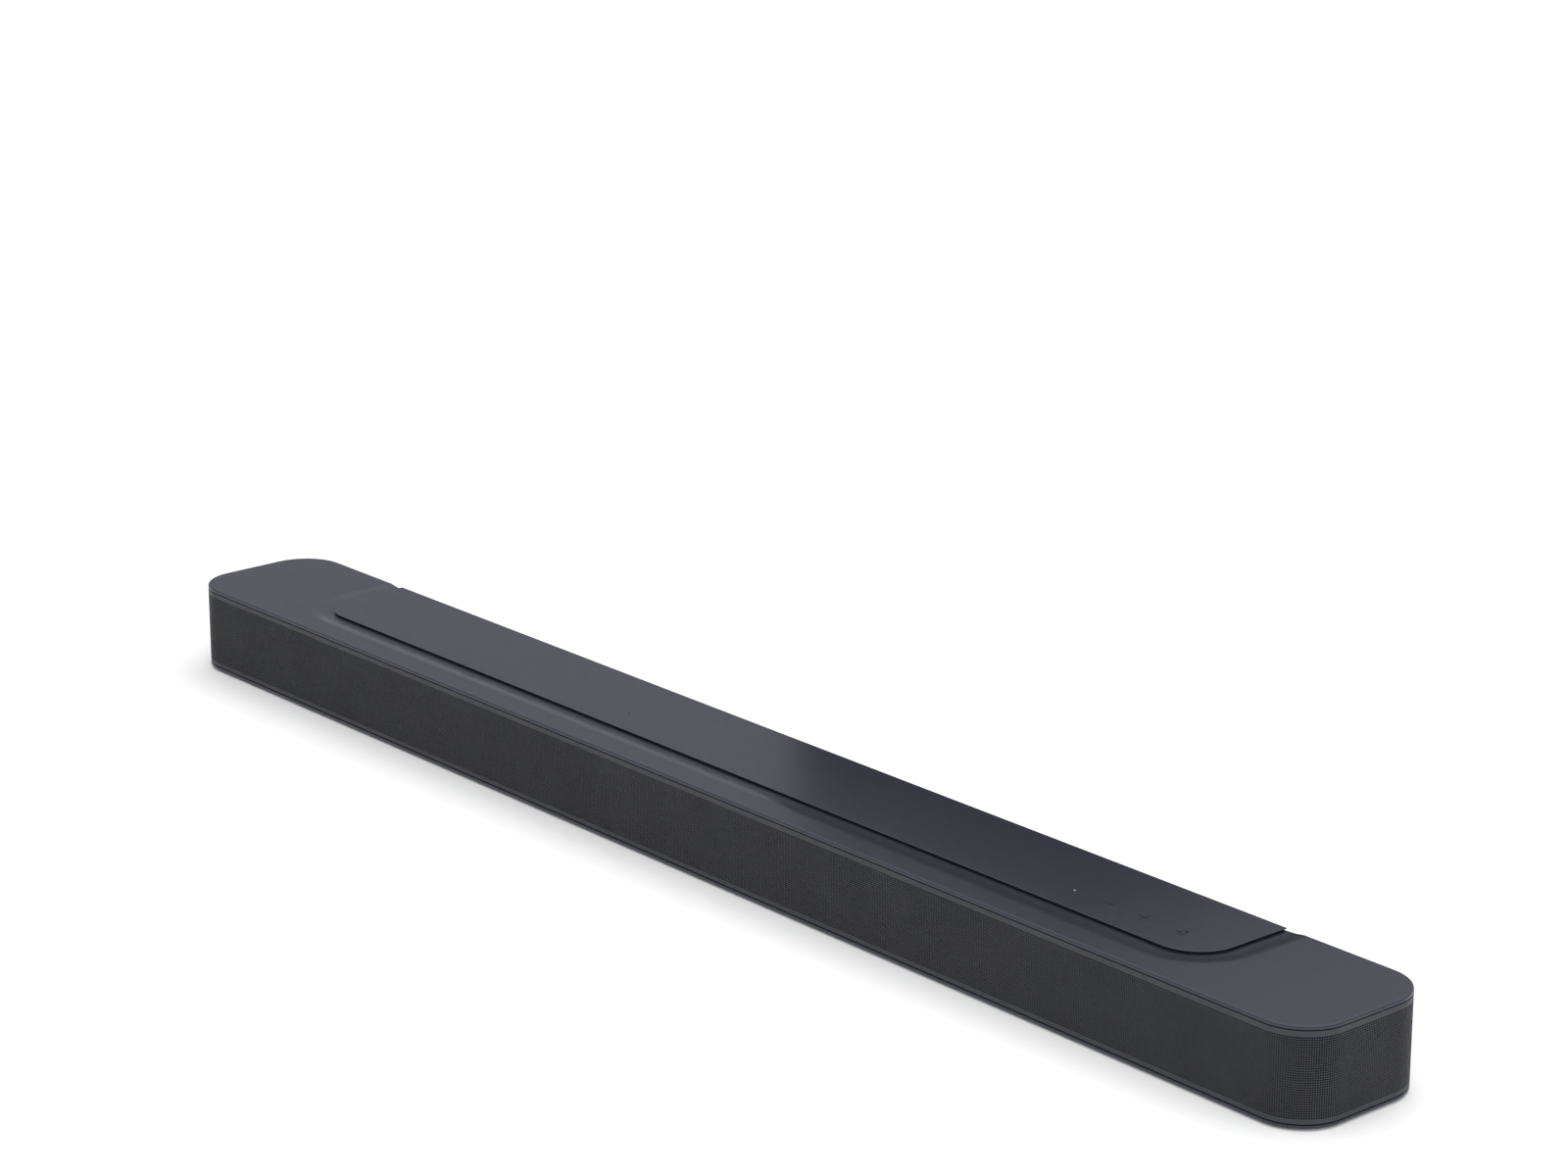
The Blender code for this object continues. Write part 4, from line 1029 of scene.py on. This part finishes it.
def make_rear():
    """The rear plate, with two recessed bays, windows for the sockets and the insert bosses."""
    middle_z = (GRILLE_LOW + GRILLE_HIGH) / 2
    height = GRILLE_HIGH - GRILLE_LOW
    half = SPLIT_X - SEAM
    rings = []
    for drop, inset in ((REAR_WALL, 0.0), (0.3 * MM, 0.0), (0.09 * MM, 0.09 * MM), (0.0, 0.3 * MM)):
        outline = rounded(2 * (half - inset), height - 2 * inset, REAR_RADIUS - inset, 4)
        rings.append(facing(outline, REAR_Y - drop, (0, middle_z)))
    plate = piece("rear_plate", loft(rings), "shell_plastic", replaces=["rear_panel"])
    for span in BAYS.values():
        grown_x = (span[0] - REAR_WALL, span[1] + REAR_WALL)
        grown_z = (BAY_Z[0] - REAR_WALL, BAY_Z[1] + REAR_WALL)
        shape = tub(grown_x, grown_z, BAY_FLOOR - REAR_WALL, REAR_Y - 1 * MM, 3 * MM)
        reshape(plate, shape, "UNION")
    for name in INSERTS:
        reshape(plate, insert_boss(name), "UNION")
    cutters = [tub(span, BAY_Z, BAY_FLOOR, REAR_Y, BAY_RADIUS, BAY_FLARE) for span in BAYS.values()]
    reshape(plate, gathered(cutters))
    reshape(plate, gathered(socket_windows() + [insert_bore(name) for name in INSERTS]))


def centre_of(name):
    """The middle of a node, as seen from the rear."""
    low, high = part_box(name)
    return (low.x + high.x) / 2, (low.z + high.z) / 2


def size_of(name):
    """The width and height of a node, as seen from the rear."""
    low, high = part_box(name)
    return high.x - low.x, high.z - low.z


def hdmi_outline(width, height):
    """A function of growth: a rectangle with its lower corners cut off."""
    def outline(grow):
        x, z = width / 2 + grow, height / 2 + grow
        radius = max(0.55 * MM + grow, 0.1 * MM)
        cut = HDMI_CHAMFER + 0.59 * grow
        right = arc((x - radius, z - radius), radius, 0, 90, 6)
        left = arc((radius - x, z - radius), radius, 90, 180, 6)
        return right + left + [(-x, cut - z), (cut - x, -z), (x - cut, -z), (x, cut - z)]

    return outline


def box_outline(width, height, radius):
    """A function of growth: a rounded rectangle."""
    def outline(grow):
        return rounded(width + 2 * grow, height + 2 * grow, max(radius + grow, 0.05 * MM))

    return outline


def socket_cup(outer, inner, centre, hollow_centre, back, floor, mouth, edge):
    """A socket body with a round-edged mouth, hollow from its mouth to its floor."""
    rings = [facing(outer(0.0), back, centre)]
    for inset, drop in fillet(edge, 4):
        rings.append(facing(outer(-inset), mouth - drop, centre))
    for grow, drop in reversed(fillet(edge / 2, 3)):
        rings.append(facing(inner(edge / 2 - grow), mouth - drop, hollow_centre))
    rings.append(facing(inner(0.0), floor, hollow_centre))
    return loft(rings)


def blade(centre, width, height, back, front, radius):
    """A blade or strip along Y, with a rounded free end."""
    outline = box_outline(width, height, radius)
    rings = [facing(outline(0.0), back, centre), facing(outline(0.0), front - radius, centre)]
    rings.append(facing(outline(-0.3 * radius), front - 0.3 * radius, centre))
    rings.append(facing(outline(-0.8 * radius), front, centre))
    return loft(rings)


def make_metal_sockets():
    """Pressed steel receptacles with a plastic tongue and plated contacts."""
    for name in (*HDMI_PORTS, "usb_port"):
        low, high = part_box(name)
        centre = centre_of(name)
        width, height = size_of(name)
        if name in HDMI_PORTS:
            outline = hdmi_outline(width, height)
            tongue_z = centre[1] + 0.2 * MM
            contacts, sides, pitch = HDMI_CONTACTS, (-1, 1), CONTACT_PITCH
        else:
            outline = box_outline(width, height, 0.5 * MM)
            tongue_z = centre[1] + 1.1 * MM
            contacts, sides, pitch = USB_CONTACTS, (-1,), 2.5 * CONTACT_PITCH

        def hollow(grow):
            return outline(grow - SOCKET_WALL)

        floor = low.y + 2 * MM
        shell = socket_cup(outline, hollow, centre, centre, low.y, floor, high.y, 0.2 * MM)
        piece(f"{name}_shell", shell, "steel", replaces=[name])
        tip = high.y - 1.5 * MM
        place, back = (centre[0], tongue_z), floor - 0.2 * MM
        tongue = blade(place, width - 4 * MM, TONGUE_THICKNESS, back, tip, 0.2 * MM)
        piece(f"{name}_tongue", tongue, "inner_plastic", replaces=[name])
        strips = []
        back, front = floor - 0.1 * MM, tip - 0.7 * MM
        for side in sides:
            for number in range(contacts):
                x = centre[0] + (number - (contacts - 1) / 2) * pitch
                place = (x, tongue_z + side * 0.62 * MM)
                strips.append(blade(place, CONTACT_WIDTH, CONTACT_THICKNESS, back, front, 0.05 * MM))
        piece(f"{name}_contacts", gathered(strips), "gold", replaces=[name])


def make_optical_socket():
    """The optical socket with its square mouth, and the flap with a recessed face."""
    low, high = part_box("optical_port")
    centre = centre_of("optical_port")
    outer = box_outline(*size_of("optical_port"), 0.6 * MM)
    mouth_centre = (centre[0], centre[1] + 0.1 * MM)
    mouth = box_outline(8.4 * MM, 8.6 * MM, 0.4 * MM)
    body = socket_cup(outer, mouth, centre, mouth_centre, low.y, low.y + 1.6 * MM, high.y, 0.3 * MM)
    piece("optical_socket", body, "inner_plastic", replaces=["optical_port"])
    low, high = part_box("optical_shutter")
    centre = centre_of("optical_shutter")
    outline = box_outline(*size_of("optical_shutter"), 0.3 * MM)
    levels = ((low.y + 0.1 * MM, 0.0), (high.y - 0.12 * MM, 0.0), (high.y - 0.04 * MM, -0.04 * MM))
    rings = [facing(outline(-0.1 * MM), low.y, centre)]
    rings += [facing(outline(grow), y, centre) for y, grow in levels]
    face = ((high.y, -0.12 * MM), (high.y, -0.9 * MM), (high.y - 0.15 * MM, -1.05 * MM))
    rings += [facing(outline(grow), y, centre) for y, grow in face]
    piece("optical_flap_leaf", loft(rings), "inner_plastic", "optical_flap", replaces=["optical_shutter"])


def make_inlet():
    """The two-pole mains inlet with its well and pins."""
    low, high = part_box("power_inlet")
    centre = centre_of("power_inlet")
    width, height = size_of("power_inlet")
    outer = box_outline(width, height, height / 2)
    well = box_outline(PIN_PITCH + WELL_HEIGHT, WELL_HEIGHT, WELL_HEIGHT / 2)
    floor = high.y - WELL_DEPTH
    body = socket_cup(outer, well, centre, centre, low.y, floor, high.y, 0.6 * MM)
    piece("inlet_body", body, "inner_plastic", replaces=["power_inlet"])
    root, tip = floor - 0.5 * MM, high.y - 3 * MM
    profile = [(0, root), (PIN_RADIUS, root), (PIN_RADIUS, tip - PIN_TIP)]
    profile += [(PIN_RADIUS - inset, tip - drop) for inset, drop in fillet(PIN_TIP)]
    profile.append((0, tip))
    pins = []
    for side in (-1, 1):
        x = centre[0] + side * PIN_PITCH / 2
        pins.append(moved(turned(profile, "Y", 24), (x, 0, centre[1])))
    piece("inlet_pins", gathered(pins), "steel", replaces=["power_inlet"])


# -------- CAD nodes that stay


def paint_nodes():
    """Give every CAD node the finish that its material slot names."""
    slots = {part["node"]: part["material_slot"] for part in frame["record"]["subparts"]}
    for name, node in frame["nodes"].items():
        material = MATERIALS[slots[name]]
        if not node.material_slots:
            node.data.materials.append(material)
        for slot in node.material_slots:
            slot.material = material


# -------- stage, lights and camera


# (radius, height) of the floor, which curves up far away
STAGE_PROFILE = [(0, 0), (13, 0), (16, 0.15), (18, 0.6), (19, 1.3), (19.6, 2.3), (19.9, 3.6)]
FLOOR_COLOR = (0.9, 0.9, 0.9, 1)
MATT = 0.9

# The sky's colours, and how far up it they lie
SKY_STRENGTH = 1.62
HORIZON, HORIZON_AT = (0.04, 0.04, 0.062, 1), 0.2
ZENITH, ZENITH_AT = (1.0, 1.0, 1.0, 1), 0.85

# The flag's corners, the radius of its upright edges and its colour
FLAG_LOW, FLAG_HIGH = Vector((-0.13, 0.15, 0.03)), Vector((0.17, 0.45, 0.2))
FLAG_RADIUS = 0.03
FLAG_COLOR = (0.05, 0.05, 0.055, 1)


def stage_object(name, shape, color):
    """A matt thing of the stage, which isn't part of the bar."""
    made = placed(name, settled(shape, name))
    paint = Paint(name)
    paint.give("Base Color", color)
    paint.give("Roughness", MATT)
    made.data.materials.append(paint.material)
    return made, paint


def make_flag():
    """A dark studio flag behind the bar, which only the bar's glossy reflections show."""
    size, centre = FLAG_HIGH - FLAG_LOW, (FLAG_LOW + FLAG_HIGH) / 2
    outline = rounded(size.x, size.y, FLAG_RADIUS, 8, centre.xy)
    shape = loft([upright(outline, FLAG_LOW.z), upright(outline, FLAG_HIGH.z)])
    flag, _ = stage_object("flag", shape, FLAG_COLOR)
    flag.visible_camera = False
    flag.visible_diffuse = False
    flag.visible_shadow = False


def make_floor():
    """A wide pale floor that curves up into a bowl far from the bar."""
    floor, paint = stage_object("floor", turned(STAGE_PROFILE, "Z", 96), FLOOR_COLOR)
    floor.data.shade_smooth()
    paint.give("Specular IOR Level", 0.0)


def make_sky():
    """A sky that is dim at the horizon and bright above."""
    world = bpy.data.worlds.new("studio")
    world.use_nodes = True
    tree = world.node_tree
    place = tree.nodes.new("ShaderNodeTexCoord")
    parts = tree.nodes.new("ShaderNodeSeparateXYZ")
    tree.links.new(place.outputs["Generated"], parts.inputs[0])
    ramp = tree.nodes.new("ShaderNodeValToRGB")
    low, high = ramp.color_ramp.elements
    low.position, high.position = HORIZON_AT, ZENITH_AT
    low.color, high.color = HORIZON, ZENITH
    tree.links.new(parts.outputs["Z"], ramp.inputs["Fac"])
    background = tree.nodes["Background"]
    tree.links.new(ramp.outputs["Color"], background.inputs["Color"])
    background.inputs["Strength"].default_value = SKY_STRENGTH
    bpy.context.scene.world = world


# Lights: place, target, size, power in watts, and whether reflections show the lamp
LIGHTS = {
    "key": ((-0.6, 1.2, 2.4), (0, 0, 0), (2.0, 1.4), 8, True),
    "fill": ((1.7, -0.9, 0.7), (0.4, 0, 0), (1.0, 0.8), 13, False),
}


def add_light(name, place, target, size, power, glossy):
    """A rectangular lamp that faces its target."""
    lamp = bpy.data.lights.new(name, "AREA")
    lamp.shape = "RECTANGLE"
    lamp.size, lamp.size_y = size
    lamp.energy = power
    made = placed(name, lamp)
    made.location = place
    made.rotation_euler = (Vector(target) - Vector(place)).to_track_quat("-Z", "Y").to_euler()
    made.visible_glossy = glossy


VIEW_AZIMUTH = math.radians(49.32)
VIEW_ELEVATION = math.radians(17.22)
VIEW_ROLL = math.radians(0.065)
VIEW_DISTANCE = 2.48867
VIEW_ASIDE = 0.03256
VIEW_ABOVE = 0.15541
SENSOR_MM = 36.0
LENS_MM = 95.02


def make_camera():
    """The photographed view: from the front right, a little above the bar, with a long lens."""
    camera = bpy.data.cameras.new("camera")
    camera.sensor_width = SENSOR_MM
    camera.lens = LENS_MM
    made = placed("camera", camera)
    flat = math.cos(VIEW_ELEVATION)
    back = Vector((math.sin(VIEW_AZIMUTH) * flat, -math.cos(VIEW_AZIMUTH) * flat, math.sin(VIEW_ELEVATION)))
    level = Vector((math.cos(VIEW_AZIMUTH), math.sin(VIEW_AZIMUTH), 0))
    rise = back.cross(level)
    right = math.cos(VIEW_ROLL) * level + math.sin(VIEW_ROLL) * rise
    up = back.cross(right)
    made.location = back * VIEW_DISTANCE + right * VIEW_ASIDE + up * VIEW_ABOVE
    made.rotation_euler = Matrix((right, up, back)).transposed().to_euler()
    bpy.context.scene.camera = made


# -------- everything together

paint_nodes()
make_floor()
make_sky()
make_flag()
for light, settings in LIGHTS.items():
    add_light(light, *settings)
make_camera()
make_cover()
make_panel()
for key, key_body in KEYS.items():
    make_key(key, key_body)
make_signs()
make_status_light()
make_grille()
make_cloth()
make_base()
make_feet()
make_screws()
make_rear()
make_metal_sockets()
make_optical_socket()
make_inlet()
for made in PIECES:
    shade(made)
bpy.context.scene.view_settings.view_transform = "Standard"
